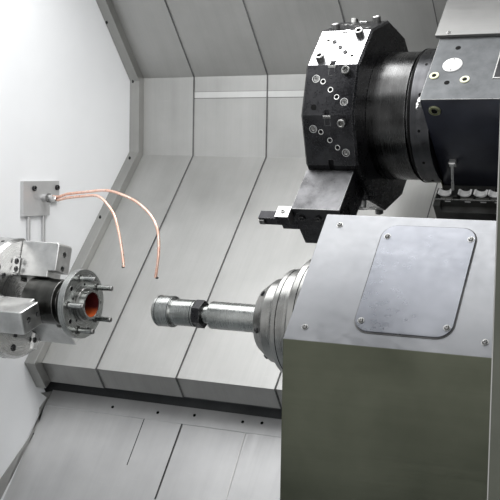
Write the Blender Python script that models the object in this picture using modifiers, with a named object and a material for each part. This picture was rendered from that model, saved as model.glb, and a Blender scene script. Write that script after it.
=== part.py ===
"""Slant-bed CNC turning lathe with a twelve-station turret and a tailstock.

Metres, +Z up. X runs along the spindle, from the chuck towards the tailstock.
Y runs from the operator's door to the back. The origin is on the floor, below the spindle axis.
"""
import math

import bmesh
import bpy
from mathutils import Matrix, Vector

# Whole machine
AXIS_HEIGHT = 1.050
BASE_BELOW_AXIS = 0.650
BASE_HEIGHT = AXIS_HEIGHT - BASE_BELOW_AXIS
MACHINE_HALF_LENGTH = 1.340
FRONT_Y = -0.650
PANEL = 0.020
SILL_BELOW_AXIS = 0.250
SILL_HEIGHT = AXIS_HEIGHT - SILL_BELOW_AXIS
DOOR_WIDTH = 1.060
DOOR_END = 0.030
DOOR_LAP = 0.018
OPENING_LEFT = DOOR_END + DOOR_WIDTH - MACHINE_HALF_LENGTH
OPENING_RIGHT = OPENING_LEFT + DOOR_WIDTH - DOOR_LAP
GAP = 0.0003
RUNNING_GAP = 0.0004
CUT_OVERRUN = 0.010
WELD = 0.00001
FLAT = math.radians(0.5)
SOFTENED_ANGLE = math.radians(40)
PANEL_BEVEL = 0.004

# Slant of the bed and the cross slide
SLANT = math.radians(46.9)

# Work area walls and way covers
WALL_X = -0.596
WALL_SHEET = 0.006
RIGHT_BAY = 0.140
RIGHT_WALL_X = MACHINE_HALF_LENGTH - RIGHT_BAY
COVER_STEP_Y, COVER_STEP_Z = 0.359, -0.256
COVER_EDGE_Y, COVER_EDGE_Z = 0.3225, -0.203
COVER_BACK_Y, COVER_BACK_LOW_Z, COVER_BACK_HIGH_Z = 0.776, 0.312, 0.523
COVER_TOP_Y, COVER_TOP_Z = 0.524, 0.819
COVER_SHEET = 0.002
COVER_PITCH = 0.0025
COVER_OVERLAP = 0.080
COVER_SEAM_1 = -0.408
COVER_SEAM_2 = -0.1885
COVER_SEAM_3 = 0.0624
COVER_SEAM_4 = 0.2934
COVER_TAIL = 0.045
TRIM_WIDTH = 0.0305
TRIM_DEPTH = 0.024
GUARD_TOP_Y, GUARD_TOP_Z = 0.4086, -0.2894
GUARD_SLOPE = math.radians(50.0)
GUARD_FOOT_RISE = 0.0305
GUARD_FOOT_Z = GUARD_FOOT_RISE - BASE_BELOW_AXIS
GUARD_SHEET = 0.004

# Room round the work area
BACK_ROOM = 0.254
REAR_Y = COVER_BACK_Y + BACK_ROOM
ROOF_ROOM = 0.061
MACHINE_HEIGHT = AXIS_HEIGHT + COVER_TOP_Z + ROOF_ROOM + PANEL
HEADER_DEPTH = 0.150
OPENING_TOP = MACHINE_HEIGHT - HEADER_DEPTH

# Bed
BED_DEPTH = 0.506
WAY_HEIGHT = 0.030
WAY_WIDTH = 0.070
WAY_LOW_S = 0.100
WAY_HIGH_S = 0.560
BED_LOW_S = 0.050
BED_HIGH_S = 0.700
BED_BACK_ROOM = 0.060
BED_BACK_Y = REAR_Y - BED_BACK_ROOM
BED_BACK_RISE = 0.150
BED_CREST_RUN, BED_CREST_RISE = 0.075, 0.190
BED_FRONT_Y = 0.132

# Carriage and cross slide, in the slanted frame (s along the slide, d off it)
SADDLE_LEFT, SADDLE_RIGHT = 0.390, 0.750
SADDLE_LOW_S, SADDLE_HIGH_S = 0.020, 0.740
SADDLE_TOP_D = -0.225
RIGHT_COVER_SHARES = ((0, 0.6556), (0.2, 0.8222), (0.4, 1))
CROSS_WAY_HEIGHT = 0.020
CROSS_WAY_WIDTH = 0.044
CROSS_WAY_LOW_S = 0.240
HOUSING_LEFT, HOUSING_RIGHT = 0.4187, 0.742
HOUSING_LOW_S, HOUSING_HIGH_S = 0.442, 0.692
HOUSING_TOP_D = 0.1396
HOUSING_BEVEL = 0.003
SLIDE_COVER_LEFT = 0.410
SLIDE_COVER_LAP_S = 0.620
SLIDE_COVER_HIGH_S = 0.780
SLIDE_COVER_LOW_D = 0.045
SLIDE_COVER_LIP = 0.008
TRAY_LOW_S = 0.392
TRAY_LOW_D, TRAY_TOP_D = -0.185, -0.128
CHAIN_TOP_D = -0.100
CHAIN_LINK = 0.036
CHAIN_WIDTH = 0.030
CHAIN_SLOT = 0.010
CHAIN_DEEP = 0.018
CHAIN_SPINE = 0.008

# Turret
TURRET_Y, TURRET_Z = 0.397, 0.397
TURRET_CORNER_R = 0.201
TURRET_LEFT, TURRET_RIGHT = 0.172, 0.286
TURRET_SIDES = 12
TURRET_CHAMFER = 0.004
TURRET_FACE_R = 0.120
TURRET_FACE_DEPTH = 0.008
TURRET_CAP_R = 0.060
STATION_HOLE_R, STATION_HOLE_DEPTH = 0.0042, 0.010
STATION_BORE_R, STATION_BORE_DEPTH = 0.0072, 0.006
STATION_HOLE_SHARES = ((-0.28, 0.33), (0.035, 0), (0.30, -0.29))
STATION_BORE_SHARES = ((-0.56, 0.45), (0.60, -0.49))
KEY_WIDTH, KEY_LENGTH, KEY_DEPTH = 0.012, 0.022, 0.006
HUB_R = 0.134
HUB_STEP_R = 0.126
HUB_END = 0.372
FLANGE_R = 0.139
HUB_GROOVE = 0.004

# Tool holder on the working station, radial sizes from the turret axis
HOLDER_LEFT, HOLDER_RIGHT = 0.170, 0.275
HOLDER_TOP = 0.038
HOLDER_LOW = -0.067
HOLDER_WAIST = -0.023
HOLDER_OUT_R = 0.303
HOLDER_STEP = 0.033
HOLDER_STEP_R = HOLDER_OUT_R - HOLDER_STEP
BAR_LEFT = 0.086
BAR_SIZE = 0.020
BAR_T = -0.013
ARM_LEFT = 0.134
ARM_LOW, ARM_HIGH = -0.024, 0.012
ARM_DEPTH = 0.027
ARM_IN_R = HOLDER_OUT_R - ARM_DEPTH
CLAMP_LEFT = 0.141
CLAMP_LAP, CLAMP_STAND = 0.007, 0.021
CLAMP_IN_R, CLAMP_OUT_R = HOLDER_OUT_R - CLAMP_LAP, HOLDER_OUT_R + CLAMP_STAND
CLAMP_LOW = 0.0123

# Spindle and chuck
CHUCK_R = 0.127
CHUCK_FACE = -0.375
CHUCK_BACK = -0.485
CHUCK_RIM = 0.006
CHUCK_SLOT_WIDTH = 0.022
CHUCK_SLOT_DEPTH = 0.020
SPINDLE_R = 0.070
SPINDLE_NOSE_R = 0.100
SPINDLE_NOSE = 0.150
LEFT_BAY = 0.160
SPINDLE_TAIL = 0.060
HEADSTOCK_LEFT, HEADSTOCK_RIGHT = LEFT_BAY - MACHINE_HALF_LENGTH, -0.690
SPINDLE_REAR = HEADSTOCK_LEFT - SPINDLE_TAIL
HEAD_LOW_Y, HEAD_LOW_Z = 0.100, 0.210
HEAD_FRONT_Y, HEAD_SIDE_Z = 0.190, 0.150
HEAD_TOP_Z, HEAD_BACK_Y = 0.230, 0.420
JAW_ANGLES_DEG = (14.0, 134.0, 254.0)
JAW_WIDTH = 0.048
JAW_IN_R = 0.0463
JAW_STEP_R = 0.060
JAW_OUT_R = 0.120
JAW_END = -0.281
JAW_STEP_X = -0.300
JAW_CHAMFER = 0.004
JAW_EDGE = 0.0015
JAW_BOLT_R = 0.0065
JAW_BOLT_DEPTH = 0.009
JAW_BOLTS_R = (0.068, 0.098)

# Clamped workpiece
SLEEVE_R = 0.046
SLEEVE_LEFT = -0.340
SLEEVE_RIGHT = -0.262
NECK_R = 0.034
FLANGE_FACE = -0.215
FLANGE_BACK = -0.229
WORK_FLANGE_R = 0.071
COLLAR_R = 0.030
COLLAR_END = -0.195
WORK_BORE_R = 0.0255
WORK_BORE_DEPTH = 0.075
STUD_R = 0.0055
STUD_CIRCLE_R = 0.055
STUD_LENGTH = 0.036
STUD_COUNT = 5
STUD_PHASE = math.radians(-15.0)

# Tailstock
TAIL_LEFT, TAIL_RIGHT = 0.330, 0.760
TAIL_FRONT_Y = -0.2075
TAIL_FRONT_Z = 0.0025
TAIL_CREST_Y, TAIL_CREST_Z = -0.0318, 0.2029
TAIL_BACK_TOP_Y, TAIL_BACK_TOP_Z = 0.100, 0.180
TAIL_BACK_Y, TAIL_BACK_Z = 0.140, 0.130
TAIL_BOTTOM_Z = -0.300
TAIL_SHEET = 0.003
SHELF_BELOW_AXIS = 0.430
SHELF_TOP = AXIS_HEIGHT - SHELF_BELOW_AXIS
SHELF_FRONT_Y, SHELF_BACK_Y = -0.160, 0.125
SHELF_LEFT = 0.220
TAIL_WAY_HEIGHT = 0.018
TAIL_WAY_WIDTH = 0.050
PLATE_LEFT, PLATE_RIGHT = 0.4455, 0.6095
PLATE_LOW_W, PLATE_HIGH_W = 0.0265, 0.2455
PLATE_CORNER_R = 0.026
PLATE_THICK = 0.003
RING_1_LEFT, RING_1_R, RING_1_CONE_R = 0.200, 0.0785, 0.060
RING_2_LEFT, RING_2_R = 0.249, 0.098
RING_3_LEFT, RING_3_R = 0.290, 0.121
RING_EDGE = 0.004
QUILL_R = 0.0266
QUILL_LEFT, QUILL_RIGHT = 0.0672, 0.480
QUILL_NECK_R = 0.018
QUILL_NECK = 0.017
QUILL_STROKE = 0.100
CENTRE_TIP = -0.039
CENTRE_CAP_R, CENTRE_CAP_END = 0.0305, 0
CENTRE_BODY_R, CENTRE_BODY_END = 0.026, 0.0495
CENTRE_BORE_R, CENTRE_BORE_DEPTH = 0.012, 0.010
CENTRE_ROUND = 0.005
NUT_RIGHT = 0.0669
NUT_ACROSS = 0.048

# Coolant bracket on the headstock wall
PLATE_Y0, PLATE_Y1, PLATE_STEP_Y = 0.2757, 0.4175, 0.379
PLATE_Z0, PLATE_STEP_Z, PLATE_Z1 = 0.156, 0.189, 0.241
BRACKET_THICK = 0.010
FITTING_R = 0.009
FITTING_Y, FITTING_Z = 0.352, 0.200
FITTING_OUT = 0.030
PIPE_R = 0.0034
PIPE_SPACING = 0.018
LONG_PIPE = ((-0.5162, 0.350, 0.2105), (-0.4590, 0.345, 0.2171), (-0.3863, 0.337, 0.2231),
             (-0.3210, 0.328, 0.2084), (-0.2840, 0.321, 0.1924), (-0.2517, 0.314, 0.1695),
             (-0.2325, 0.309, 0.1436), (-0.2244, 0.305, 0.1172), (-0.2220, 0.301, 0.0810),
             (-0.2275, 0.298, 0.0287))
SHORT_PIPE = ((-0.5162, 0.350, 0.2010), (-0.4630, 0.344, 0.2070), (-0.4174, 0.337, 0.2100),
              (-0.3882, 0.331, 0.1960), (-0.3614, 0.325, 0.1700), (-0.3472, 0.320, 0.1421),
              (-0.3365, 0.316, 0.1130), (-0.3281, 0.313, 0.0806), (-0.3220, 0.311, 0.0472))
FEED_R = 0.0045
FEED_YS = (0.302, 0.361)
FEED_FOOT_Z = -0.060

# Door and operator panel
DOOR_THICK = 0.030
DOOR_STAND_OFF = 0.004
DOOR_RAIL = 0.020
DOOR_LAP_LOW, DOOR_LAP_HIGH = 0.040, 0.060
DOOR_BOTTOM, DOOR_TOP = SILL_HEIGHT - DOOR_LAP_LOW, OPENING_TOP + DOOR_LAP_HIGH
DOOR_BORDER_X = 0.240
DOOR_BORDER_Z = 0.260
WINDOW_CORNER_R = 0.060
GLASS = 0.008
HANDLE_R = 0.011
HANDLE_LENGTH = 0.320
HANDLE_STAND_OFF = 0.050
HANDLE_INSET = 0.070
CONSOLE_INSET, CONSOLE_WIDTH = 0.080, 0.370
CONSOLE_X1 = MACHINE_HALF_LENGTH - CONSOLE_INSET
CONSOLE_X0 = CONSOLE_X1 - CONSOLE_WIDTH
CONSOLE_DROP, CONSOLE_RISE = 0.050, 0.590
CONSOLE_Z0, CONSOLE_Z1 = AXIS_HEIGHT - CONSOLE_DROP, AXIS_HEIGHT + CONSOLE_RISE
CONSOLE_DEPTH = 0.070
SCREEN_BORDER = 0.035
SCREEN_HEIGHT = 0.230
SCREEN_THICK = 0.004
STOP_R, STOP_STEM_R, STOP_HEIGHT, STOP_STEM = 0.020, 0.012, 0.018, 0.012
STOP_DROP = 0.085
STOP_SOCKET = 0.010
STOP_CROWN_SHARE = 0.8
STOP_ROUND_SHARE = 0.3

COLLECTION = "cnc_turning_lathe"

YZ_FRAME = Matrix(((0, 0, 1, 0), (1, 0, 0, 0), (0, 1, 0, 0), (0, 0, 0, 1)))
AXIS = Vector((0, 0, AXIS_HEIGHT))
SLANTED_FRAME = Matrix.Translation(AXIS) @ Matrix.Rotation(SLANT, 4, "X")
FACING_FRONT = Matrix(((1, 0, 0, 0), (0, 0, -1, 0), (0, 1, 0, 0), (0, 0, 0, 1)))


def start():
    for ob in list(bpy.data.objects):
        bpy.data.objects.remove(ob, do_unlink=True)
    made = []
    for name in (COLLECTION, "cutters"):
        group = bpy.data.collections.new(name)
        bpy.context.scene.collection.children.link(group)
        made.append(group)
    return made


PARTS, CUTTERS = start()


def material(name, colour, roughness, metallic):
    mat = bpy.data.materials.new(name)
    mat.use_nodes = True
    shader = mat.node_tree.nodes["Principled BSDF"]
    shader.inputs["Base Color"].default_value = (*colour, 1)
    shader.inputs["Roughness"].default_value = roughness
    shader.inputs["Metallic"].default_value = metallic
    return mat


PAINT_GREY = material("paint_grey", (0.72, 0.74, 0.75), 0.5, 0.0)
PAINT_WHITE = material("paint_white", (0.86, 0.87, 0.88), 0.5, 0.0)
CAST = material("cast_paint", (0.42, 0.44, 0.46), 0.6, 0.2)
STAINLESS = material("stainless", (0.55, 0.55, 0.54), 0.4, 0.9)
STEEL = material("machined_steel", (0.66, 0.66, 0.66), 0.3, 1.0)
BLACK_OXIDE = material("black_oxide", (0.03, 0.03, 0.035), 0.35, 0.8)
BLACK_PAINT = material("black_paint", (0.05, 0.055, 0.06), 0.4, 0.1)
COPPER = material("copper", (0.85, 0.52, 0.40), 0.3, 1.0)
GLASS_CLEAR = material("window_glass", (0.75, 0.85, 0.85), 0.05, 0.0)
RED = material("stop_red", (0.70, 0.03, 0.03), 0.4, 0.0)


# Placing

def slanted(s, d):
    """Y and Z of a point s along the slide and d off it, measured from the spindle axis."""
    return (s * math.cos(SLANT) - d * math.sin(SLANT),
            AXIS_HEIGHT + s * math.sin(SLANT) + d * math.cos(SLANT))


def on_axis(y, z):
    return (y, AXIS_HEIGHT + z)


def station_frame():
    """Axes at the turret centre: X, out of the working station, and across the station."""
    out = Vector((0, -math.cos(SLANT), -math.sin(SLANT)))
    across = Vector((0, -math.sin(SLANT), math.cos(SLANT)))
    return out, across


def station_point(r, t):
    """Y and Z of a point r out of the turret axis and t across the working station."""
    out, across = station_frame()
    place = Vector((0, TURRET_Y, AXIS_HEIGHT + TURRET_Z)) + out * r + across * t
    return (place.y, place.z)


def offset_chain(points, distance):
    """The open outline moved sideways, to the right of its direction, with mitred corners."""
    normals = []
    for (y0, z0), (y1, z1) in zip(points, points[1:]):
        length = math.hypot(y1 - y0, z1 - z0)
        normals.append(((z1 - z0) / length, (y0 - y1) / length))
    moved = []
    for i, (y, z) in enumerate(points):
        before = normals[max(i - 1, 0)]
        after = normals[min(i, len(normals) - 1)]
        ny, nz = before[0] + after[0], before[1] + after[1]
        scale = distance * 2 / (ny * ny + nz * nz)
        moved.append((y + ny * scale, z + nz * scale))
    return moved


def cover_chain(distance=0.0):
    points = [on_axis(COVER_STEP_Y, COVER_STEP_Z), on_axis(COVER_EDGE_Y, COVER_EDGE_Z),
              on_axis(COVER_BACK_Y, COVER_BACK_LOW_Z), on_axis(COVER_BACK_Y, COVER_BACK_HIGH_Z),
              on_axis(COVER_TOP_Y, COVER_TOP_Z)]
    return offset_chain(points, distance)


def guard_point(z, behind=0.0):
    """A point of the chip guard at height z, moved straight back by a distance off its sheet."""
    fall = (GUARD_TOP_Z - z) / math.tan(GUARD_SLOPE)
    y = GUARD_TOP_Y - fall
    return (y + behind * math.sin(GUARD_SLOPE), AXIS_HEIGHT + z - behind * math.cos(GUARD_SLOPE))


# Making

def add_mesh(name, bm, mat, group=None):
    bmesh.ops.recalc_face_normals(bm, faces=bm.faces)
    mesh = bpy.data.meshes.new(name)
    bm.to_mesh(mesh)
    bm.free()
    ob = bpy.data.objects.new(name, mesh)
    (group or PARTS).objects.link(ob)
    if mat:
        mesh.materials.append(mat)
    return ob


def box(name, low, high, mat, group=None):
    bm = bmesh.new()
    bmesh.ops.create_cube(bm, size=1)
    size = [b - a for a, b in zip(low, high)]
    middle = [(a + b) / 2 for a, b in zip(low, high)]
    bmesh.ops.scale(bm, vec=size, verts=bm.verts)
    bmesh.ops.translate(bm, vec=middle, verts=bm.verts)
    return add_mesh(name, bm, mat, group)


def prism(name, outline, x0, x1, mat, group=None):
    """A flat outline in Y and Z, drawn as a filled curve and given its length along X."""
    curve = bpy.data.curves.new(name, "CURVE")
    curve.dimensions = "2D"
    curve.fill_mode = "BOTH"
    curve.extrude = (x1 - x0) / 2
    spline = curve.splines.new("POLY")
    spline.points.add(len(outline) - 1)
    for point, (y, z) in zip(spline.points, outline):
        point.co = (y, z, 0, 1)
    spline.use_cyclic_u = True
    place = Matrix.Translation(((x0 + x1) / 2, 0, 0)) @ YZ_FRAME
    return solid_of_curve(name, curve, place, mat, group)


def solid_of_curve(name, curve, place, mat, group=None):
    """A closed mesh from a curve, with its caps welded."""
    drawn = bpy.data.objects.new(name + "_curve", curve)
    bpy.context.scene.collection.objects.link(drawn)
    drawn.matrix_world = place
    bpy.context.view_layer.update()
    seen = drawn.evaluated_get(bpy.context.evaluated_depsgraph_get())
    mesh = bpy.data.meshes.new_from_object(seen)
    bm = bmesh.new()
    bm.from_mesh(mesh)
    bmesh.ops.remove_doubles(bm, verts=bm.verts, dist=WELD)
    bmesh.ops.dissolve_limit(bm, angle_limit=FLAT, verts=bm.verts, edges=bm.edges)
    bmesh.ops.transform(bm, matrix=place, verts=bm.verts)
    bpy.data.objects.remove(drawn, do_unlink=True)
    return add_mesh(name, bm, mat, group)


def folded_sheet(name, chain, x0, x1, thickness, mat):
    """A folded sheet: an open surface along X, thickened away from the work area."""
    bm = bmesh.new()
    rows = [[bm.verts.new((x, y, z)) for y, z in chain] for x in (x0, x1)]
    for i in range(len(chain) - 1):
        bm.faces.new((rows[0][i], rows[1][i], rows[1][i + 1], rows[0][i + 1]))
    mesh = bpy.data.meshes.new(name)
    bm.to_mesh(mesh)
    bm.free()
    mesh.materials.append(mat)
    ob = bpy.data.objects.new(name, mesh)
    PARTS.objects.link(ob)
    solid = ob.modifiers.new("thickness", "SOLIDIFY")
    solid.thickness = thickness
    solid.offset = -1
    solid.use_even_offset = True
    return ob


def turned(name, profile, centre, steps, mat, group=None):
    """A turned piece: (x, radius) points from its right end to its left, along the axis at centre."""
    bm = bmesh.new()
    verts = [bm.verts.new((r, 0, x)) for x, r in profile]
    for a, b in zip(verts, verts[1:]):
        bm.edges.new((a, b))
    if profile[0][1] > 0:
        bm.edges.new((verts[-1], verts[0]))
    mesh = bpy.data.meshes.new(name)
    bm.to_mesh(mesh)
    bm.free()
    if mat:
        mesh.materials.append(mat)
    ob = bpy.data.objects.new(name, mesh)
    (group or PARTS).objects.link(ob)
    ob.matrix_world = Matrix.Translation((0, centre[0], centre[1])) @ YZ_FRAME
    screw = ob.modifiers.new("turn", "SCREW")
    screw.steps = screw.render_steps = steps
    screw.use_merge_vertices = True
    screw.merge_threshold = WELD
    screw.use_smooth_shade = False
    return ob


def rod(bm, start, end, radius, sides):
    """A round bar between two points, added to a mesh."""
    start, end = Vector(start), Vector(end)
    along = end - start
    turn = along.to_track_quat("Z", "Y").to_matrix().to_4x4()
    place = Matrix.Translation((start + end) / 2) @ turn
    bmesh.ops.create_cone(bm, cap_ends=True, segments=sides, radius1=radius, radius2=radius,
                          depth=along.length, matrix=place)


def block(bm, low, high, place=None):
    """A box added to a mesh, in its own axes when a placing matrix is given."""
    made = bmesh.ops.create_cube(bm, size=1)["verts"]
    bmesh.ops.scale(bm, vec=[b - a for a, b in zip(low, high)], verts=made)
    bmesh.ops.translate(bm, vec=[(a + b) / 2 for a, b in zip(low, high)], verts=made)
    if place:
        bmesh.ops.transform(bm, matrix=place, verts=made)


def combine(target, tool, operation):
    tool.hide_render = True
    tool.display_type = "WIRE"
    mod = target.modifiers.new(operation.lower(), "BOOLEAN")
    mod.operation = operation
    mod.solver = "EXACT"
    mod.object = tool
    return target


def cut(target, tool):
    return combine(target, tool, "DIFFERENCE")


def fuse(target, tool):
    return combine(target, tool, "UNION")


def tool_mesh(name, bm):
    return add_mesh(name, bm, None, CUTTERS)


def soften(ob, width, segments=1):
    mod = ob.modifiers.new("soft_edges", "BEVEL")
    mod.width = width
    mod.segments = segments
    mod.limit_method = "ANGLE"
    mod.angle_limit = SOFTENED_ANGLE
    return ob


def tube(name, points, radius, mat, sides=2):
    curve = bpy.data.curves.new(name, "CURVE")
    curve.dimensions = "3D"
    curve.bevel_depth = radius
    curve.bevel_resolution = sides
    curve.use_fill_caps = True
    spline = curve.splines.new("POLY")
    spline.points.add(len(points) - 1)
    for point, place in zip(spline.points, points):
        point.co = (*place, 1)
    return solid_of_curve(name, curve, Matrix.Identity(4), mat)


def smooth_route(knots, spacing):
    """Points at an even spacing along a smooth curve through the knots."""
    knots = [Vector(k) for k in knots]
    ends = [2 * knots[0] - knots[1]] + knots + [2 * knots[-1] - knots[-2]]
    route = [knots[0]]
    for a, b, c, d in zip(ends, ends[1:], ends[2:], ends[3:]):
        count = max(1, round((c - b).length / spacing))
        for step in range(1, count + 1):
            t = step / count
            route.append((2 * b + (c - a) * t + (2 * a - 5 * b + 4 * c - d) * t ** 2
                          + (3 * b - a - 3 * c + d) * t ** 3) / 2)
    return route


# Base, bed and shelf

def make_base():
    box("base_frame", (-MACHINE_HALF_LENGTH, FRONT_Y + PANEL, 0),
        (MACHINE_HALF_LENGTH, REAR_Y - PANEL, BASE_HEIGHT), CAST)


def make_bed():
    face, way = -BED_DEPTH, -BED_DEPTH + WAY_HEIGHT
    pad = GUARD_SHEET + GAP
    outline = [(BED_FRONT_Y + pad, BASE_HEIGHT + GAP), (BED_BACK_Y, BASE_HEIGHT + GAP),
               on_axis(BED_BACK_Y, BED_BACK_RISE), on_axis(BED_BACK_Y - BED_CREST_RUN, BED_CREST_RISE),
               slanted(BED_HIGH_S, face)]
    for s in (WAY_HIGH_S, WAY_LOW_S):
        outline += [slanted(s + WAY_WIDTH, face), slanted(s + WAY_WIDTH, way),
                    slanted(s, way), slanted(s, face)]
    low = slanted(BED_LOW_S, face)
    outline += [low, guard_point(low[1] - AXIS_HEIGHT, pad),
                guard_point(GUARD_FOOT_Z + PANEL, pad)]
    prism("bed_casting", outline, HEADSTOCK_LEFT, RIGHT_WALL_X - GAP, CAST)


def make_guard():
    chain = [guard_point(GUARD_FOOT_Z), guard_point(GUARD_TOP_Z)]
    folded_sheet("chip_guard", chain, WALL_X + GAP, RIGHT_WALL_X - GAP, GUARD_SHEET, STAINLESS)


def make_shelf():
    way = SHELF_TOP + TAIL_WAY_HEIGHT
    front_way_end, back_way_start = SHELF_FRONT_Y + TAIL_WAY_WIDTH, SHELF_BACK_Y - TAIL_WAY_WIDTH
    outline = [(SHELF_FRONT_Y, BASE_HEIGHT + GAP), (SHELF_FRONT_Y, way), (front_way_end, way),
               (front_way_end, SHELF_TOP), (back_way_start, SHELF_TOP), (back_way_start, way),
               (SHELF_BACK_Y, way), (SHELF_BACK_Y, BASE_HEIGHT + GAP)]
    prism("tailstock_shelf", outline, SHELF_LEFT, RIGHT_WALL_X - GAP, CAST)


# Work area

def make_wall():
    inside = cover_chain(-GAP)
    top = MACHINE_HEIGHT - PANEL - GAP
    guard_top = guard_point(GUARD_TOP_Z - PANEL, -GAP)
    guard_low = guard_point(GUARD_FOOT_Z, -GAP)
    front = FRONT_Y + PANEL + GAP
    outline = [(front, BASE_HEIGHT + GAP), (guard_low[0], BASE_HEIGHT + GAP), guard_low, guard_top]
    outline += inside + [(inside[-1][0], top), (front, top)]
    wall = prism("headstock_wall", outline, WALL_X - WALL_SHEET, WALL_X, PAINT_WHITE)
    bm = bmesh.new()
    rod(bm, AXIS + Vector((WALL_X - WALL_SHEET - CUT_OVERRUN, 0, 0)),
        AXIS + Vector((WALL_X + CUT_OVERRUN, 0, 0)), SPINDLE_NOSE_R + GAP, 32)
    cut(wall, tool_mesh("wall_hole", bm))


def make_trim():
    outline = cover_chain(-GAP) + list(reversed(cover_chain(-TRIM_DEPTH)))
    prism("wall_trim", outline, WALL_X + GAP, WALL_X + TRIM_WIDTH, STAINLESS)


def cover(name, level, x0, x1, first=0, last=5):
    chain = cover_chain(level * COVER_PITCH)[first:last]
    return folded_sheet(name, chain, x0, x1, COVER_SHEET, STAINLESS)


def make_covers():
    cover("cover_1", 0, WALL_X - COVER_TAIL, COVER_SEAM_1)
    cover("cover_2", 1, COVER_SEAM_1 - COVER_OVERLAP, COVER_SEAM_2)
    cover("cover_3", 2, COVER_SEAM_2 - COVER_OVERLAP, COVER_SEAM_3)
    cover("cover_4", 3, COVER_SEAM_3 - COVER_OVERLAP, COVER_SEAM_4 - GAP)
    skirt = cover_chain(3 * COVER_PITCH)[:3]
    skirt[2] = toward(skirt[2], skirt[1], COVER_SHEET + GAP)
    folded_sheet("saddle_skirt", skirt, COVER_SEAM_4, SADDLE_LEFT - GAP, COVER_SHEET, STAINLESS)
    cover("carriage_cover", 3, COVER_SEAM_4, SADDLE_RIGHT, 2, 5)
    left, right = SADDLE_RIGHT + GAP, RIGHT_WALL_X - GAP
    for number, (start_share, end_share) in enumerate(RIGHT_COVER_SHARES, 1):
        cover(f"right_cover_{number}", len(RIGHT_COVER_SHARES) - number,
              left + (right - left) * start_share, left + (right - left) * end_share)


def toward(start, end, distance):
    length = math.hypot(end[0] - start[0], end[1] - start[1])
    return (start[0] + (end[0] - start[0]) * distance / length,
            start[1] + (end[1] - start[1]) * distance / length)


def make_right_wall():
    box("right_wall", (RIGHT_WALL_X, FRONT_Y + PANEL + GAP, BASE_HEIGHT + GAP),
        (RIGHT_WALL_X + PANEL, REAR_Y - PANEL - GAP, MACHINE_HEIGHT - PANEL - GAP), PAINT_WHITE)


# Enclosure

def make_enclosure():
    low, high = BASE_HEIGHT + GAP, MACHINE_HEIGHT - PANEL - GAP
    half, front, back = MACHINE_HALF_LENGTH, FRONT_Y, REAR_Y
    edges = PANEL_BEVEL
    for name, x in (("left_side_panel", -half - PANEL), ("right_side_panel", half + GAP)):
        soften(box(name, (x, front, low), (x + PANEL - GAP, back, high), PAINT_GREY), edges)
    soften(box("rear_panel", (-half, back - PANEL, low), (half, back, high), PAINT_GREY), edges)
    soften(box("roof_panel", (-half - PANEL, front, high + GAP), (half + PANEL, back, MACHINE_HEIGHT),
               PAINT_GREY), edges)
    sill = SILL_HEIGHT
    left_end, right_end = OPENING_LEFT - DOOR_WIDTH, OPENING_RIGHT
    under, over = DOOR_BOTTOM - GAP - DOOR_RAIL, DOOR_TOP + GAP
    apron = box("front_apron", (-half, front, low), (half, front + PANEL, sill), PAINT_GREY)
    fuse(soften(apron, edges), rail("lower_rail", left_end, right_end, under))
    left = box("front_left_panel", (-half, front, sill + GAP), (OPENING_LEFT, front + PANEL, high),
               PAINT_GREY)
    fuse(soften(left, edges), rail("left_rail", left_end, OPENING_LEFT - PANEL, over))
    soften(box("front_right_panel", (OPENING_RIGHT, front, sill + GAP), (half, front + PANEL, high),
               PAINT_GREY), edges)
    header = box("header_panel", (OPENING_LEFT + GAP, front, OPENING_TOP),
                 (OPENING_RIGHT - GAP, front + PANEL, high), PAINT_GREY)
    fuse(soften(header, edges), rail("header_rail", OPENING_LEFT + PANEL, right_end - PANEL, over))


def rail(name, x0, x1, z):
    """A door rail on the front of a panel, let into it so that the two join."""
    hang = DOOR_STAND_OFF + DOOR_THICK / 2
    return box(name, (x0, FRONT_Y - hang, z), (x1, FRONT_Y + PANEL / 2, z + DOOR_RAIL), None, CUTTERS)


def rounded_outline(u0, u1, v0, v1, radius, arc_steps):
    """The corners of a rectangle with round corners, as points in its own plane."""
    points = []
    for (cu, cv), start in zip(((u1 - radius, v1 - radius), (u0 + radius, v1 - radius),
                                (u0 + radius, v0 + radius), (u1 - radius, v0 + radius)), range(4)):
        for step in range(arc_steps + 1):
            angle = (start + step / arc_steps) * math.pi / 2
            points.append((cu + radius * math.cos(angle), cv + radius * math.sin(angle)))
    return points


def plate(name, outline, thickness, place, mat, group=None):
    """A flat plate from an outline in its own plane, standing thickness above it."""
    curve = bpy.data.curves.new(name, "CURVE")
    curve.dimensions = "2D"
    curve.fill_mode = "BOTH"
    curve.extrude = thickness / 2
    spline = curve.splines.new("POLY")
    spline.points.add(len(outline) - 1)
    for point, (u, v) in zip(spline.points, outline):
        point.co = (u, v, 0, 1)
    spline.use_cyclic_u = True
    return solid_of_curve(name, curve, place @ Matrix.Translation((0, 0, thickness / 2)), mat, group)


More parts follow.
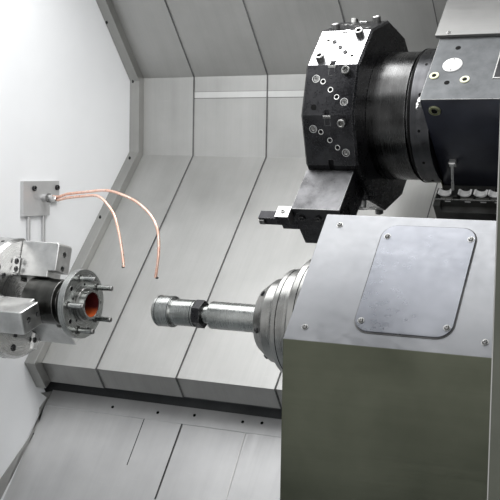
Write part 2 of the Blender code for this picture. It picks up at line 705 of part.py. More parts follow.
def make_door():
    x0, x1 = OPENING_LEFT - DOOR_WIDTH, OPENING_LEFT
    back = FRONT_Y - DOOR_STAND_OFF
    front = back - DOOR_THICK
    frame = box("door_frame", (x0, front, DOOR_BOTTOM), (x1, back, DOOR_TOP), PAINT_GREY)
    opening = rounded_outline(x0 + DOOR_BORDER_X, x1 - DOOR_BORDER_X, DOOR_BOTTOM + DOOR_BORDER_Z,
                              DOOR_TOP - DOOR_BORDER_Z, WINDOW_CORNER_R, 4)
    hole = plate("window_hole", opening, DOOR_THICK + 2 * CUT_OVERRUN,
                 Matrix.Translation((0, back + CUT_OVERRUN, 0)) @ FACING_FRONT, None, CUTTERS)
    cut(frame, hole)
    soften(frame, PANEL_BEVEL)
    pane = rounded_outline(x0 + DOOR_BORDER_X + GAP, x1 - DOOR_BORDER_X - GAP,
                           DOOR_BOTTOM + DOOR_BORDER_Z + GAP, DOOR_TOP - DOOR_BORDER_Z - GAP,
                           WINDOW_CORNER_R - GAP, 4)
    plate("door_window", pane, GLASS,
          Matrix.Translation((0, back - (DOOR_THICK - GLASS) / 2, 0)) @ FACING_FRONT, GLASS_CLEAR)
    x = x1 - HANDLE_INSET
    middle = (DOOR_BOTTOM + DOOR_TOP) / 2
    low, high = middle - HANDLE_LENGTH / 2, middle + HANDLE_LENGTH / 2
    root, out = front - GAP, front - HANDLE_STAND_OFF
    bend = HANDLE_R + HANDLE_R
    knots = [(x, root, low), (x, out + bend, low), (x, out, low + bend), (x, out, high - bend),
             (x, out + bend, high), (x, root, high)]
    tube("door_handle", knots, HANDLE_R, STEEL)


def make_console():
    front = FRONT_Y - CONSOLE_DEPTH
    console = box("control_panel", (CONSOLE_X0, front, CONSOLE_Z0),
                  (CONSOLE_X1, FRONT_Y - GAP, CONSOLE_Z1), BLACK_PAINT)
    screen_low = CONSOLE_Z1 - SCREEN_BORDER - SCREEN_HEIGHT
    bm = bmesh.new()
    block(bm, (CONSOLE_X0 + SCREEN_BORDER, front - CUT_OVERRUN, screen_low),
          (CONSOLE_X1 - SCREEN_BORDER, front + SCREEN_THICK + SCREEN_THICK, CONSOLE_Z1 - SCREEN_BORDER))
    x, z = (CONSOLE_X0 + CONSOLE_X1) / 2, CONSOLE_Z0 + STOP_DROP
    rod(bm, (x, front - CUT_OVERRUN, z), (x, front + STOP_STEM + STOP_SOCKET, z),
        STOP_STEM_R + RUNNING_GAP, 20)
    cut(console, tool_mesh("console_recesses", bm))
    box("control_screen", (CONSOLE_X0 + SCREEN_BORDER + GAP, front + SCREEN_THICK, screen_low + GAP),
        (CONSOLE_X1 - SCREEN_BORDER - GAP, front + SCREEN_THICK + SCREEN_THICK - GAP,
         CONSOLE_Z1 - SCREEN_BORDER - GAP), BLACK_PAINT)
    travel = STOP_SOCKET - GAP
    stem_end = -STOP_HEIGHT - travel - STOP_STEM
    profile = [(0, 0), (0, STOP_R * STOP_CROWN_SHARE), (-STOP_HEIGHT * STOP_ROUND_SHARE, STOP_R),
               (-STOP_HEIGHT, STOP_R), (-STOP_HEIGHT, STOP_STEM_R), (stem_end, STOP_STEM_R), (stem_end, 0)]
    knob = turned("stop_button", profile, (0, 0), 20, RED)
    lift = STOP_HEIGHT + travel - STOP_SOCKET / 2
    out = Matrix(((1, 0, 0, x), (0, 0, -1, front - lift), (0, 1, 0, z), (0, 0, 0, 1)))
    knob.matrix_world = out


# Headstock side

def make_headstock():
    way = -BED_DEPTH + WAY_HEIGHT + GAP
    high, low = slanted(WAY_HIGH_S + WAY_WIDTH, way), slanted(WAY_LOW_S, way)
    outline = [low, on_axis(-HEAD_LOW_Y, -HEAD_LOW_Z), on_axis(-HEAD_FRONT_Y, -HEAD_SIDE_Z),
               on_axis(-HEAD_FRONT_Y, HEAD_SIDE_Z), on_axis(-HEAD_LOW_Y, HEAD_TOP_Z),
               on_axis(HEAD_BACK_Y, HEAD_TOP_Z), high]
    head = prism("headstock", outline, HEADSTOCK_LEFT, HEADSTOCK_RIGHT, CAST)
    bm = bmesh.new()
    rod(bm, AXIS + Vector((HEADSTOCK_LEFT - CUT_OVERRUN, 0, 0)),
        AXIS + Vector((HEADSTOCK_RIGHT + CUT_OVERRUN, 0, 0)), SPINDLE_R + RUNNING_GAP, 32)
    cut(head, tool_mesh("headstock_bore", bm))


def make_spindle():
    nose_back = CHUCK_BACK - GAP - SPINDLE_NOSE
    profile = [(CHUCK_BACK - GAP, 0), (CHUCK_BACK - GAP, SPINDLE_NOSE_R - GAP),
               (nose_back, SPINDLE_NOSE_R - GAP), (nose_back, SPINDLE_R),
               (SPINDLE_REAR, SPINDLE_R), (SPINDLE_REAR, 0)]
    turned("spindle", profile, on_axis(0, 0), 32, STEEL)


def jaw_place(angle_deg):
    """Axes of a jaw: X along the spindle, Y across the jaw, Z radially outward."""
    return Matrix.Translation(AXIS) @ Matrix.Rotation(-math.radians(angle_deg), 4, "X")


def make_chuck():
    rim = CHUCK_RIM
    profile = [(CHUCK_FACE, 0), (CHUCK_FACE, CHUCK_R - rim), (CHUCK_FACE - rim, CHUCK_R),
               (CHUCK_BACK + rim, CHUCK_R), (CHUCK_BACK, CHUCK_R - rim), (CHUCK_BACK, 0)]
    chuck = turned("chuck_body", profile, on_axis(0, 0), 48, STEEL)
    bm = bmesh.new()
    half = CHUCK_SLOT_WIDTH / 2
    for angle in JAW_ANGLES_DEG:
        block(bm, (CHUCK_FACE - CHUCK_SLOT_DEPTH, -half, JAW_IN_R - CUT_OVERRUN),
              (CHUCK_FACE + CUT_OVERRUN, half, CHUCK_R + CUT_OVERRUN), jaw_place(angle))
    cut(chuck, tool_mesh("chuck_slots", bm))


def make_jaws():
    tongue_back = CHUCK_FACE - CHUCK_SLOT_DEPTH + GAP
    face = CHUCK_FACE + GAP
    outline = [(face, JAW_IN_R), (JAW_STEP_X, JAW_IN_R), (JAW_STEP_X, JAW_STEP_R),
               (JAW_END, JAW_STEP_R), (JAW_END, JAW_OUT_R - JAW_CHAMFER),
               (JAW_END - JAW_CHAMFER, JAW_OUT_R), (face, JAW_OUT_R)]
    half = JAW_WIDTH / 2
    tongue_half = CHUCK_SLOT_WIDTH / 2 - GAP
    for number, angle in enumerate(JAW_ANGLES_DEG, 1):
        place = jaw_place(angle) @ Matrix.Translation((0, half, 0)) @ FACING_FRONT
        jaw = plate(f"jaw_{number}", outline, JAW_WIDTH, place, STEEL)
        soften(jaw, JAW_EDGE)
        bm = bmesh.new()
        block(bm, (tongue_back, -tongue_half, JAW_IN_R),
              (face + JAW_EDGE, tongue_half, CHUCK_R - CHUCK_RIM), jaw_place(angle))
        fuse(jaw, tool_mesh(f"jaw_{number}_tongue", bm))
        bm = bmesh.new()
        for r in JAW_BOLTS_R:
            ends = [jaw_place(angle) @ Vector((x, 0, r))
                    for x in (JAW_END - JAW_BOLT_DEPTH, JAW_END + CUT_OVERRUN)]
            rod(bm, *ends, JAW_BOLT_R, 12)
        cut(jaw, tool_mesh(f"jaw_{number}_holes", bm))


def make_work():
    bore_end = COLLAR_END - WORK_BORE_DEPTH
    profile = [(bore_end, 0), (bore_end, WORK_BORE_R), (COLLAR_END, WORK_BORE_R),
               (COLLAR_END, COLLAR_R), (FLANGE_FACE, COLLAR_R), (FLANGE_FACE, WORK_FLANGE_R),
               (FLANGE_BACK, WORK_FLANGE_R), (FLANGE_BACK, NECK_R), (SLEEVE_RIGHT, NECK_R),
               (SLEEVE_RIGHT, SLEEVE_R), (SLEEVE_LEFT, SLEEVE_R), (SLEEVE_LEFT, 0)]
    work = turned("work_flange", profile, on_axis(0, 0), 40, STEEL)
    bm = bmesh.new()
    for number in range(STUD_COUNT):
        angle = STUD_PHASE + number * math.tau / STUD_COUNT
        y, z = STUD_CIRCLE_R * math.sin(angle), STUD_CIRCLE_R * math.cos(angle)
        rod(bm, AXIS + Vector(((FLANGE_FACE + FLANGE_BACK) / 2, y, z)),
            AXIS + Vector((FLANGE_FACE + STUD_LENGTH, y, z)), STUD_R, 12)
    fuse(work, tool_mesh("work_studs", bm))


# Coolant bracket

def make_coolant():
    back, front = WALL_X + GAP, WALL_X + BRACKET_THICK
    outline = [on_axis(PLATE_Y0, PLATE_Z0), on_axis(PLATE_STEP_Y, PLATE_Z0),
               on_axis(PLATE_STEP_Y, PLATE_STEP_Z), on_axis(PLATE_Y1, PLATE_STEP_Z),
               on_axis(PLATE_Y1, PLATE_Z1), on_axis(PLATE_Y0, PLATE_Z1)]
    manifold = prism("coolant_plate", outline, back, front, STAINLESS)
    fitting_end = front + FITTING_OUT
    bm = bmesh.new()
    rod(bm, AXIS + Vector(((back + front) / 2, FITTING_Y, FITTING_Z)),
        AXIS + Vector((fitting_end, FITTING_Y, FITTING_Z)), FITTING_R, 12)
    fuse(manifold, tool_mesh("coolant_fitting", bm))
    start_x = fitting_end + GAP
    spread = PIPE_R + RUNNING_GAP
    for name, rise, bends in (("coolant_pipe_long", spread, LONG_PIPE),
                              ("coolant_pipe_short", -spread, SHORT_PIPE)):
        straight = [(x, FITTING_Y, FITTING_Z + rise) for x in (start_x, start_x + PIPE_SPACING)]
        knots = [AXIS + Vector(place) for place in (*straight, *bends)]
        tube(name, smooth_route(knots, PIPE_SPACING), PIPE_R, COPPER, 3)
    for number, y in enumerate(FEED_YS, 1):
        x = WALL_X + GAP + FEED_R
        ends = [(x, y, AXIS_HEIGHT + z) for z in (PLATE_Z0 - GAP, FEED_FOOT_Z)]
        tube(f"feed_pipe_{number}", ends, FEED_R, STAINLESS)


# Carriage and cross slide

def make_saddle():
    low, top, way = -BED_DEPTH + WAY_HEIGHT + GAP, SADDLE_TOP_D, SADDLE_TOP_D + CROSS_WAY_HEIGHT
    outline = [slanted(SADDLE_LOW_S, low), slanted(SADDLE_HIGH_S, low), slanted(SADDLE_HIGH_S, top),
               slanted(SADDLE_LOW_S, top)]
    saddle = prism("saddle", outline, SADDLE_LEFT, SADDLE_RIGHT, CAST)
    way_outline = [slanted(CROSS_WAY_LOW_S, top - CUT_OVERRUN), slanted(SADDLE_HIGH_S, top - CUT_OVERRUN),
                   slanted(SADDLE_HIGH_S, way), slanted(CROSS_WAY_LOW_S, way)]
    for side, x in (("left", HOUSING_LEFT), ("right", HOUSING_RIGHT - CROSS_WAY_WIDTH)):
        fuse(saddle, prism(f"cross_way_{side}", way_outline, x, x + CROSS_WAY_WIDTH, None, CUTTERS))


def make_cross_slide():
    low = SADDLE_TOP_D + CROSS_WAY_HEIGHT + GAP
    outline = [slanted(HOUSING_LOW_S, low), slanted(HOUSING_HIGH_S, low),
               slanted(HOUSING_HIGH_S, HOUSING_TOP_D), slanted(HOUSING_LOW_S, HOUSING_TOP_D)]
    soften(prism("turret_housing", outline, HOUSING_LEFT, HOUSING_RIGHT, BLACK_PAINT), HOUSING_BEVEL)
    lip = HOUSING_TOP_D + SLIDE_COVER_LIP
    rest, behind = HOUSING_TOP_D + GAP, HOUSING_HIGH_S + GAP
    outline = [slanted(SLIDE_COVER_LAP_S, rest), slanted(behind, rest),
               slanted(behind, SLIDE_COVER_LOW_D), slanted(SLIDE_COVER_HIGH_S, SLIDE_COVER_LOW_D),
               slanted(SLIDE_COVER_HIGH_S, lip), slanted(SLIDE_COVER_LAP_S, lip)]
    prism("slide_cover", outline, SLIDE_COVER_LEFT, HOUSING_RIGHT, PAINT_GREY)
    face = HOUSING_LOW_S - GAP
    outline = [slanted(TRAY_LOW_S, TRAY_LOW_D), slanted(face, TRAY_LOW_D), slanted(face, TRAY_TOP_D),
               slanted(TRAY_LOW_S, TRAY_TOP_D)]
    prism("chain_tray", outline, SLIDE_COVER_LEFT, HOUSING_RIGHT, BLACK_PAINT)
    low_d = TRAY_TOP_D + GAP
    outline = [slanted(face - CHAIN_WIDTH, low_d), slanted(face, low_d),
               slanted(face, CHAIN_TOP_D), slanted(face - CHAIN_WIDTH, CHAIN_TOP_D)]
    chain = prism("cable_chain", outline, HOUSING_LEFT, HOUSING_RIGHT, BLACK_PAINT)
    bm = bmesh.new()
    x = HOUSING_LEFT + CHAIN_LINK
    while x + CHAIN_SLOT < HOUSING_RIGHT:
        low_corner = Vector((x, face - CHAIN_WIDTH - CUT_OVERRUN, CHAIN_TOP_D - CHAIN_DEEP))
        high_corner = Vector((x + CHAIN_SLOT, face - CHAIN_SPINE, CHAIN_TOP_D + CUT_OVERRUN))
        block(bm, low_corner, high_corner, SLANTED_FRAME)
        x += CHAIN_LINK
    cut(chain, tool_mesh("chain_slots", bm))


def make_turret():
    centre = on_axis(TURRET_Y, TURRET_Z)
    flat_r = TURRET_CORNER_R * math.cos(math.pi / TURRET_SIDES)
    half_side = TURRET_CORNER_R * math.sin(math.pi / TURRET_SIDES)
    outline = []
    for number in range(TURRET_SIDES):
        turn = number * math.tau / TURRET_SIDES
        r, t = flat_r, half_side
        outline.append(station_point(r * math.cos(turn) - t * math.sin(turn),
                                     r * math.sin(turn) + t * math.cos(turn)))
    disc = prism("turret_disc", outline, TURRET_LEFT, TURRET_RIGHT, BLACK_OXIDE)
    soften(disc, TURRET_CHAMFER)
    bm = bmesh.new()
    middle, half_width = (TURRET_LEFT + TURRET_RIGHT) / 2, (TURRET_RIGHT - TURRET_LEFT) / 2
    out, across = station_frame()
    hub = Vector((0, *centre))
    for number in range(TURRET_SIDES):
        spin = Matrix.Rotation(number * math.tau / TURRET_SIDES, 3, "X")
        outward, sideways = spin @ out, spin @ across
        for shares, radius, depth in ((STATION_HOLE_SHARES, STATION_HOLE_R, STATION_HOLE_DEPTH),
                                      (STATION_BORE_SHARES, STATION_BORE_R, STATION_BORE_DEPTH)):
            for x_share, t_share in shares:
                foot = hub + Vector((middle + half_width * x_share, 0, 0)) + sideways * half_side * t_share
                rod(bm, foot + outward * (flat_r - depth), foot + outward * (flat_r + CUT_OVERRUN),
                    radius, 10)
        axes = Matrix((Vector((1, 0, 0)), sideways, outward)).transposed().to_4x4()
        block(bm, (middle - KEY_WIDTH / 2, half_side - KEY_LENGTH, flat_r - KEY_DEPTH),
              (middle + KEY_WIDTH / 2, half_side + CUT_OVERRUN, flat_r + CUT_OVERRUN),
              Matrix.Translation(hub) @ axes)
    cut(disc, tool_mesh("station_holes", bm))
    face = TURRET_LEFT + TURRET_FACE_DEPTH
    ring = [(face, TURRET_CAP_R), (face, TURRET_FACE_R), (TURRET_LEFT - CUT_OVERRUN, TURRET_FACE_R),
            (TURRET_LEFT - CUT_OVERRUN, TURRET_CAP_R)]
    cut(disc, turned("turret_face_ring", ring, centre, 32, None, CUTTERS))
    groove = HUB_GROOVE
    hub_left = TURRET_RIGHT + GAP
    profile = [(HUB_END, 0), (HUB_END, HUB_STEP_R), (HUB_END - groove, HUB_STEP_R),
               (HUB_END - groove, HUB_R), (hub_left, HUB_R), (hub_left, 0)]
    turned("turret_hub", profile, centre, 40, STEEL)
    start = HUB_END + RUNNING_GAP
    end = HOUSING_LEFT - GAP
    profile = [(end, 0), (end, FLANGE_R), (start + groove + groove, FLANGE_R),
               (start + groove, HUB_R), (start, HUB_R), (start, 0)]
    turned("hub_flange", profile, centre, 40, BLACK_OXIDE)


def make_tool():
    flat_r = TURRET_CORNER_R * math.cos(math.pi / TURRET_SIDES)
    root = flat_r + GAP
    outline = [station_point(root, HOLDER_TOP), station_point(HOLDER_OUT_R, HOLDER_TOP),
               station_point(HOLDER_OUT_R, HOLDER_WAIST), station_point(HOLDER_OUT_R, HOLDER_LOW),
               station_point(HOLDER_STEP_R, HOLDER_LOW), station_point(HOLDER_STEP_R, -HOLDER_TOP),
               station_point(root, -HOLDER_TOP)]
    prism("tool_holder", outline, HOLDER_LEFT, HOLDER_RIGHT, BLACK_OXIDE)
    end = HOLDER_LEFT - GAP
    outline = [station_point(ARM_IN_R, ARM_LOW), station_point(ARM_IN_R, ARM_HIGH),
               station_point(HOLDER_OUT_R, ARM_HIGH), station_point(HOLDER_OUT_R, ARM_LOW)]
    arm = prism("tool_bar", outline, ARM_LEFT, end, BLACK_OXIDE)
    inner, outer, far_side = HOLDER_OUT_R - BAR_SIZE, HOLDER_OUT_R - GAP, BAR_T + BAR_SIZE
    bar = [station_point(inner, BAR_T), station_point(inner, far_side),
           station_point(outer, far_side), station_point(outer, BAR_T)]
    fuse(arm, prism("tool_shank", bar, BAR_LEFT, ARM_LEFT + CUT_OVERRUN, None, CUTTERS))
    outline = [station_point(CLAMP_IN_R, CLAMP_LOW), station_point(CLAMP_IN_R, HOLDER_TOP),
               station_point(CLAMP_OUT_R, HOLDER_TOP), station_point(CLAMP_OUT_R, CLAMP_LOW)]
    prism("tool_clamp", outline, CLAMP_LEFT, end, STEEL)


# Tailstock

def tail_outline(inset=0.0):
    points = [on_axis(TAIL_FRONT_Y, TAIL_BOTTOM_Z), on_axis(TAIL_FRONT_Y, TAIL_FRONT_Z),
              on_axis(TAIL_CREST_Y, TAIL_CREST_Z), on_axis(TAIL_BACK_TOP_Y, TAIL_BACK_TOP_Z),
              on_axis(TAIL_BACK_Y, TAIL_BACK_Z), on_axis(TAIL_BACK_Y, TAIL_BOTTOM_Z)]
    return offset_chain(points, inset)


def make_tailstock():
    shell = prism("tailstock_cover", tail_outline(), TAIL_LEFT, TAIL_RIGHT, STAINLESS)
    hollow = tail_outline(TAIL_SHEET)
    hollow[0] = (hollow[0][0], hollow[0][1] - CUT_OVERRUN)
    hollow[-1] = (hollow[-1][0], hollow[-1][1] - CUT_OVERRUN)
    cut(shell, prism("cover_hollow", hollow, TAIL_LEFT + TAIL_SHEET, TAIL_RIGHT - TAIL_SHEET, None, CUTTERS))
    bm = bmesh.new()
    rod(bm, AXIS + Vector((TAIL_LEFT - CUT_OVERRUN, 0, 0)), AXIS + Vector((TAIL_LEFT + CUT_OVERRUN, 0, 0)),
        QUILL_R + RUNNING_GAP, 24)
    cut(shell, tool_mesh("cover_bore", bm))
    left, right = TAIL_LEFT + TAIL_SHEET + GAP, TAIL_RIGHT - TAIL_SHEET - GAP
    casting = prism("tailstock_casting", tail_outline(TAIL_SHEET + GAP), left, right, CAST)
    foot = SHELF_TOP + TAIL_WAY_HEIGHT + GAP
    fuse(casting, box("tailstock_foot", (left, SHELF_FRONT_Y, foot),
                      (right, SHELF_BACK_Y, AXIS_HEIGHT + TAIL_BOTTOM_Z + CUT_OVERRUN), None, CUTTERS))
    bm = bmesh.new()
    rod(bm, AXIS + Vector((TAIL_LEFT - CUT_OVERRUN, 0, 0)),
        AXIS + Vector((QUILL_RIGHT + QUILL_STROKE + CUT_OVERRUN, 0, 0)), QUILL_R + RUNNING_GAP, 24)
    cut(casting, tool_mesh("quill_bore", bm))
    slope = math.atan2(TAIL_CREST_Z - TAIL_FRONT_Z, TAIL_CREST_Y - TAIL_FRONT_Y)
    place = (Matrix.Translation((0, *on_axis(TAIL_FRONT_Y, TAIL_FRONT_Z)))
             @ Matrix.Rotation(slope, 4, "X") @ Matrix.Translation((0, 0, GAP)))
    outline = rounded_outline(PLATE_LEFT, PLATE_RIGHT, PLATE_LOW_W, PLATE_HIGH_W, PLATE_CORNER_R, 6)
    plate("cover_plate", outline, PLATE_THICK, place, STAINLESS)


def make_nose():
    bore = QUILL_R + RUNNING_GAP
    end = TAIL_LEFT - GAP
    cone_end = (RING_1_LEFT + RING_2_LEFT) / 2
    profile = [(end, bore), (end, RING_3_R), (RING_3_LEFT + RING_EDGE, RING_3_R),
               (RING_3_LEFT, RING_3_R - RING_EDGE), (RING_3_LEFT, RING_2_R),
               (RING_2_LEFT + RING_EDGE, RING_2_R), (RING_2_LEFT, RING_2_R - RING_EDGE),
               (RING_2_LEFT, RING_1_R), (cone_end, RING_1_R),
               (RING_1_LEFT, RING_1_CONE_R), (RING_1_LEFT, bore)]
    turned("tailstock_nose", profile, on_axis(0, 0), 40, STEEL)


def make_quill():
    profile = [(QUILL_RIGHT, 0), (QUILL_RIGHT, QUILL_R), (QUILL_LEFT + QUILL_NECK, QUILL_R),
               (QUILL_LEFT + QUILL_NECK, QUILL_NECK_R), (QUILL_LEFT, QUILL_NECK_R), (QUILL_LEFT, 0)]
    turned("quill", profile, on_axis(0, 0), 28, STEEL)
    bore = CENTRE_BORE_R
    profile = [(CENTRE_BODY_END, 0), (CENTRE_BODY_END, CENTRE_BODY_R), (CENTRE_CAP_END, CENTRE_BODY_R),
               (CENTRE_CAP_END, CENTRE_CAP_R), (CENTRE_TIP + CENTRE_ROUND, CENTRE_CAP_R),
               (CENTRE_TIP, CENTRE_CAP_R - CENTRE_ROUND), (CENTRE_TIP, bore),
               (CENTRE_TIP + CENTRE_BORE_DEPTH, bore), (CENTRE_TIP + CENTRE_BORE_DEPTH, 0)]
    turned("live_centre", profile, on_axis(0, 0), 28, STEEL)
    corner = NUT_ACROSS / 2 / math.cos(math.pi / 6)
    outline = [on_axis(corner * math.sin(k * math.pi / 3), corner * math.cos(k * math.pi / 3))
               for k in range(6)]
    prism("centre_nut", outline, CENTRE_BODY_END + GAP, NUT_RIGHT, BLACK_OXIDE)


make_base()
make_bed()
make_guard()
make_shelf()
make_wall()
make_trim()
make_covers()
make_right_wall()
make_enclosure()
make_door()
make_console()
make_headstock()
make_spindle()
make_chuck()
make_jaws()
make_work()
make_coolant()
make_saddle()
make_cross_slide()
make_turret()
make_tool()
make_tailstock()
make_nose()
make_quill()
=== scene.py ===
from math import cos, hypot, pi, radians, sin, tau

import bmesh
import bpy
from mathutils import Matrix, Vector


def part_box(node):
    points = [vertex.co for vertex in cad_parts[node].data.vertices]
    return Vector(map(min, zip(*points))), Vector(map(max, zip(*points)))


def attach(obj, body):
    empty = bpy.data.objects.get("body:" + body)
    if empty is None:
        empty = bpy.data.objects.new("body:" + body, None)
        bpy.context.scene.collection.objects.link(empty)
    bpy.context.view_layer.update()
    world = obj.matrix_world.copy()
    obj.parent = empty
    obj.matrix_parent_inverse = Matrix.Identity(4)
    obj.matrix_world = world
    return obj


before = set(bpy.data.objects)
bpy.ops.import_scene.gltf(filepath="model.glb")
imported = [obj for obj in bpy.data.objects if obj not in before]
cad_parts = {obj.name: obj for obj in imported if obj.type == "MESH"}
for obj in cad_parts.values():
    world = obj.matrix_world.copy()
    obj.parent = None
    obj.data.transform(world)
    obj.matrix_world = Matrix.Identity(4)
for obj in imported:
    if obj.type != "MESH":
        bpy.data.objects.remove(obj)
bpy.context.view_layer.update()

# The photograph's camera, worked out from its straight edges
PHOTO_SIZE = 500
CAMERA_PLACE = Vector((1.1038, -1.8724, 1.3362))
CAMERA_YAW, CAMERA_PITCH, CAMERA_ROLL = radians(26.7), radians(4.29), radians(-0.99)
FOCAL_PIXELS = 1118
SENSOR = 36

# Sizes shared with the CAD model
AXIS_HEIGHT = 1.05
SLANT = radians(46.9)
COVER_POINTS = ((0.359, -0.256), (0.3225, -0.203), (0.776, 0.312), (0.776, 0.523), (0.524, 0.819))
COVER_PITCH = 0.0025
GUARD_TOP_Y, GUARD_TOP_Z = 0.4086, -0.2894
GUARD_SLOPE = radians(50.0)
TURRET_Y, TURRET_Z = 0.397, 1.447
TURRET_CENTRE = Vector((0.229, TURRET_Y, TURRET_Z))
STATIONS = 12
JAW_ANGLES = [radians(a) for a in (14.0, 134.0, 254.0)]
JAW_BOLTS_R = (0.068, 0.098)
JAW_BOLT_DEPTH = 0.009

# How far a piece is sunk into what carries it
EASE = 0.0004

# Finish
WORN_EDGE = 0.0012
WELD_DISTANCE = 0.00002
FLAT_WEIGHT = 80

AXIS = Vector((0, 0, AXIS_HEIGHT))
X_AXIS, Y_AXIS, Z_AXIS = Vector((1, 0, 0)), Vector((0, 1, 0)), Vector((0, 0, 1))
SLIDE_UP = Vector((0, cos(SLANT), sin(SLANT)))
SLIDE_OFF = Vector((0, -sin(SLANT), cos(SLANT)))


# Camera and photograph

def camera_axes():
    yaw, pitch, roll = CAMERA_YAW, CAMERA_PITCH, CAMERA_ROLL
    ahead = Vector((-sin(yaw) * cos(pitch), cos(yaw) * cos(pitch), -sin(pitch)))
    level = Vector((cos(yaw), sin(yaw), 0))
    down = ahead.cross(level)
    right = level * cos(roll) + down * sin(roll)
    return right, down * cos(roll) - level * sin(roll), ahead


def seen_on(pixel, point, normal):
    """The place on a plane that the photograph shows at a pixel."""
    right, down, ahead = camera_axes()
    half = PHOTO_SIZE / 2
    ray = ahead + right * (pixel[0] - half) / FOCAL_PIXELS + down * (pixel[1] - half) / FOCAL_PIXELS
    return CAMERA_PLACE + ray * ((point - CAMERA_PLACE).dot(normal) / ray.dot(normal))


def make_camera():
    right, down, ahead = camera_axes()
    data = bpy.data.cameras.new("camera")
    data.sensor_width = SENSOR
    data.lens = FOCAL_PIXELS * SENSOR / PHOTO_SIZE
    camera = bpy.data.objects.new("camera", data)
    bpy.context.scene.collection.objects.link(camera)
    turn = Matrix((right, -down, -ahead)).transposed().to_4x4()
    camera.matrix_world = Matrix.Translation(CAMERA_PLACE) @ turn
    bpy.context.scene.camera = camera


# Materials

class Look:
    """A node material built up around its Principled shader."""

    def __init__(self, name, metallic=0.0, roughness=0.5):
        self.material = bpy.data.materials.new(name)
        self.material.use_nodes = True
        self.tree = self.material.node_tree
        self.shader = self.tree.nodes["Principled BSDF"]
        self.shader.inputs["Metallic"].default_value = metallic
        self.shader.inputs["Roughness"].default_value = roughness
        self.place = self.add("TexCoord", output="Object")

    def add(self, kind, inputs=(), output=0, **settings):
        node = self.tree.nodes.new("ShaderNode" + kind)
        for key, value in settings.items():
            setattr(node, key, value)
        for key, value in dict(inputs).items():
            if isinstance(value, bpy.types.NodeSocket):
                self.tree.links.new(value, node.inputs[key])
            else:
                node.inputs[key].default_value = value
        return node.outputs[output]

    def along(self, axis):
        return self.add("SeparateXYZ", {"Vector": self.place}, axis)

    def noise(self, scale, detail=3.0, rough=0.55, vector=None):
        scaled = self.add("Mapping", {"Vector": vector or self.place, "Scale": scale})
        return self.add("TexNoise", {"Vector": scaled, "Scale": 1.0, "Detail": detail,
                                     "Roughness": rough})

    def remap(self, value, low, high, to_low=0.0, to_high=1.0):
        return self.add("MapRange", {"Value": value, "From Min": low, "From Max": high,
                                     "To Min": to_low, "To Max": to_high})

    def maths(self, operation, a, b=0.0):
        return self.add("Math", {0: a, 1: b}, operation=operation)

    def blend(self, a, b, a_share, b_share):
        a, b = self.maths("MULTIPLY", a, a_share), self.maths("MULTIPLY", b, b_share)
        return self.maths("ADD", a, b)

    def mixed(self, factor, a, b):
        ends = [(*c, 1) if isinstance(c, tuple) else c for c in (a, b)]
        return self.add("Mix", {0: factor, 6: ends[0], 7: ends[1]}, output=2, data_type="RGBA")

    def to(self, socket, value):
        self.tree.links.new(value, self.shader.inputs[socket])

    def cloudy(self, cloud, dark, light, low=0.35, high=0.65):
        """Colours the surface by a noise, from dark to light."""
        self.to("Base Color", self.mixed(self.remap(cloud, low, high), dark, light))

    def bump(self, height, strength, distance):
        bump = {"Height": height, "Strength": strength, "Distance": distance}
        self.to("Normal", self.add("Bump", bump))

    def worn(self, share, width=WORN_EDGE):
        """A share along a piece's outer edges and 0 on its flats."""
        bent = self.add("Bevel", {"Radius": width}, samples=4)
        true = self.add("NewGeometry", output="Normal")
        likeness = self.add("VectorMath", {0: bent, 1: true}, "Value", operation="DOT_PRODUCT")
        return self.maths("MULTIPLY", self.remap(likeness, 0.94, 0.99, 1.0, 0.0), share)


def sheet_steel(name, dark, light, rough=(0.3, 0.46), grain=(330, 10, 10), metallic=0.85):
    """Brushed sheet with fine grain, soft wipe marks and a few scratches."""
    look = Look(name, metallic)
    fine = look.noise(grain, 2.0)
    streak = look.noise([g / 7 for g in grain], 3.0)
    cloud = look.noise((5, 5, 5), 4.0, 0.6)
    tone = look.blend(streak, cloud, 0.22, 0.78)
    sheet = look.mixed(look.remap(tone, 0.32, 0.68), dark, light)
    scratch = look.noise((9, 130, 130), 6.0, 0.75)
    marks = look.remap(scratch, 0.64, 0.74, 0.0, 0.25)
    look.to("Base Color", look.mixed(marks, sheet, tuple(min(1.0, c * 1.25) for c in light)))
    look.to("Roughness", look.remap(look.maths("ADD", fine, cloud), 0.75, 1.25, *rough))
    look.bump(fine, 0.06, 0.0005)
    return look.material


def turned_steel(name, dark, light, rough=(0.2, 0.36), centre=(0.0, AXIS_HEIGHT)):
    """Lathe-turned metal: rings round an axis that lies along X."""
    look = Look(name, 1.0)
    y = look.maths("SUBTRACT", look.along("Y"), centre[0])
    z = look.maths("SUBTRACT", look.along("Z"), centre[1])
    square = look.blend(y, z, y, z)
    rings = look.add("CombineXYZ", {"X": look.along("X"), "Y": look.maths("SQRT", square)})
    fine = look.noise((700, 700, 1), 2.0, vector=rings)
    broad = look.noise((70, 70, 1), 3.0, vector=rings)
    cloud = look.noise((14, 14, 14), 4.0)
    tone = look.blend(broad, cloud, 0.3, 0.7)
    metal = look.mixed(look.remap(tone, 0.38, 0.62), dark, light)
    look.to("Base Color", look.mixed(look.worn(0.4), metal, (0.9, 0.9, 0.9)))
    look.to("Roughness", look.remap(look.maths("ADD", fine, cloud), 0.6, 1.4, *rough))
    look.bump(fine, 0.03, 0.0003)
    return look.material


def milled_steel(name, dark, light, rough=(0.24, 0.42)):
    """Ground or milled metal with a cross grain, bright at its edges."""
    look = Look(name, 1.0)
    fine = look.noise((500, 500, 60), 2.0)
    cloud = look.noise((22, 22, 22), 5.0, 0.6)
    metal = look.mixed(look.remap(cloud, 0.35, 0.65), dark, light)
    look.to("Base Color", look.mixed(look.worn(0.5), metal, (0.92, 0.92, 0.9)))
    look.to("Roughness", look.remap(look.maths("ADD", fine, cloud), 0.75, 1.25, *rough))
    look.bump(fine, 0.12, 0.0004)
    return look.material


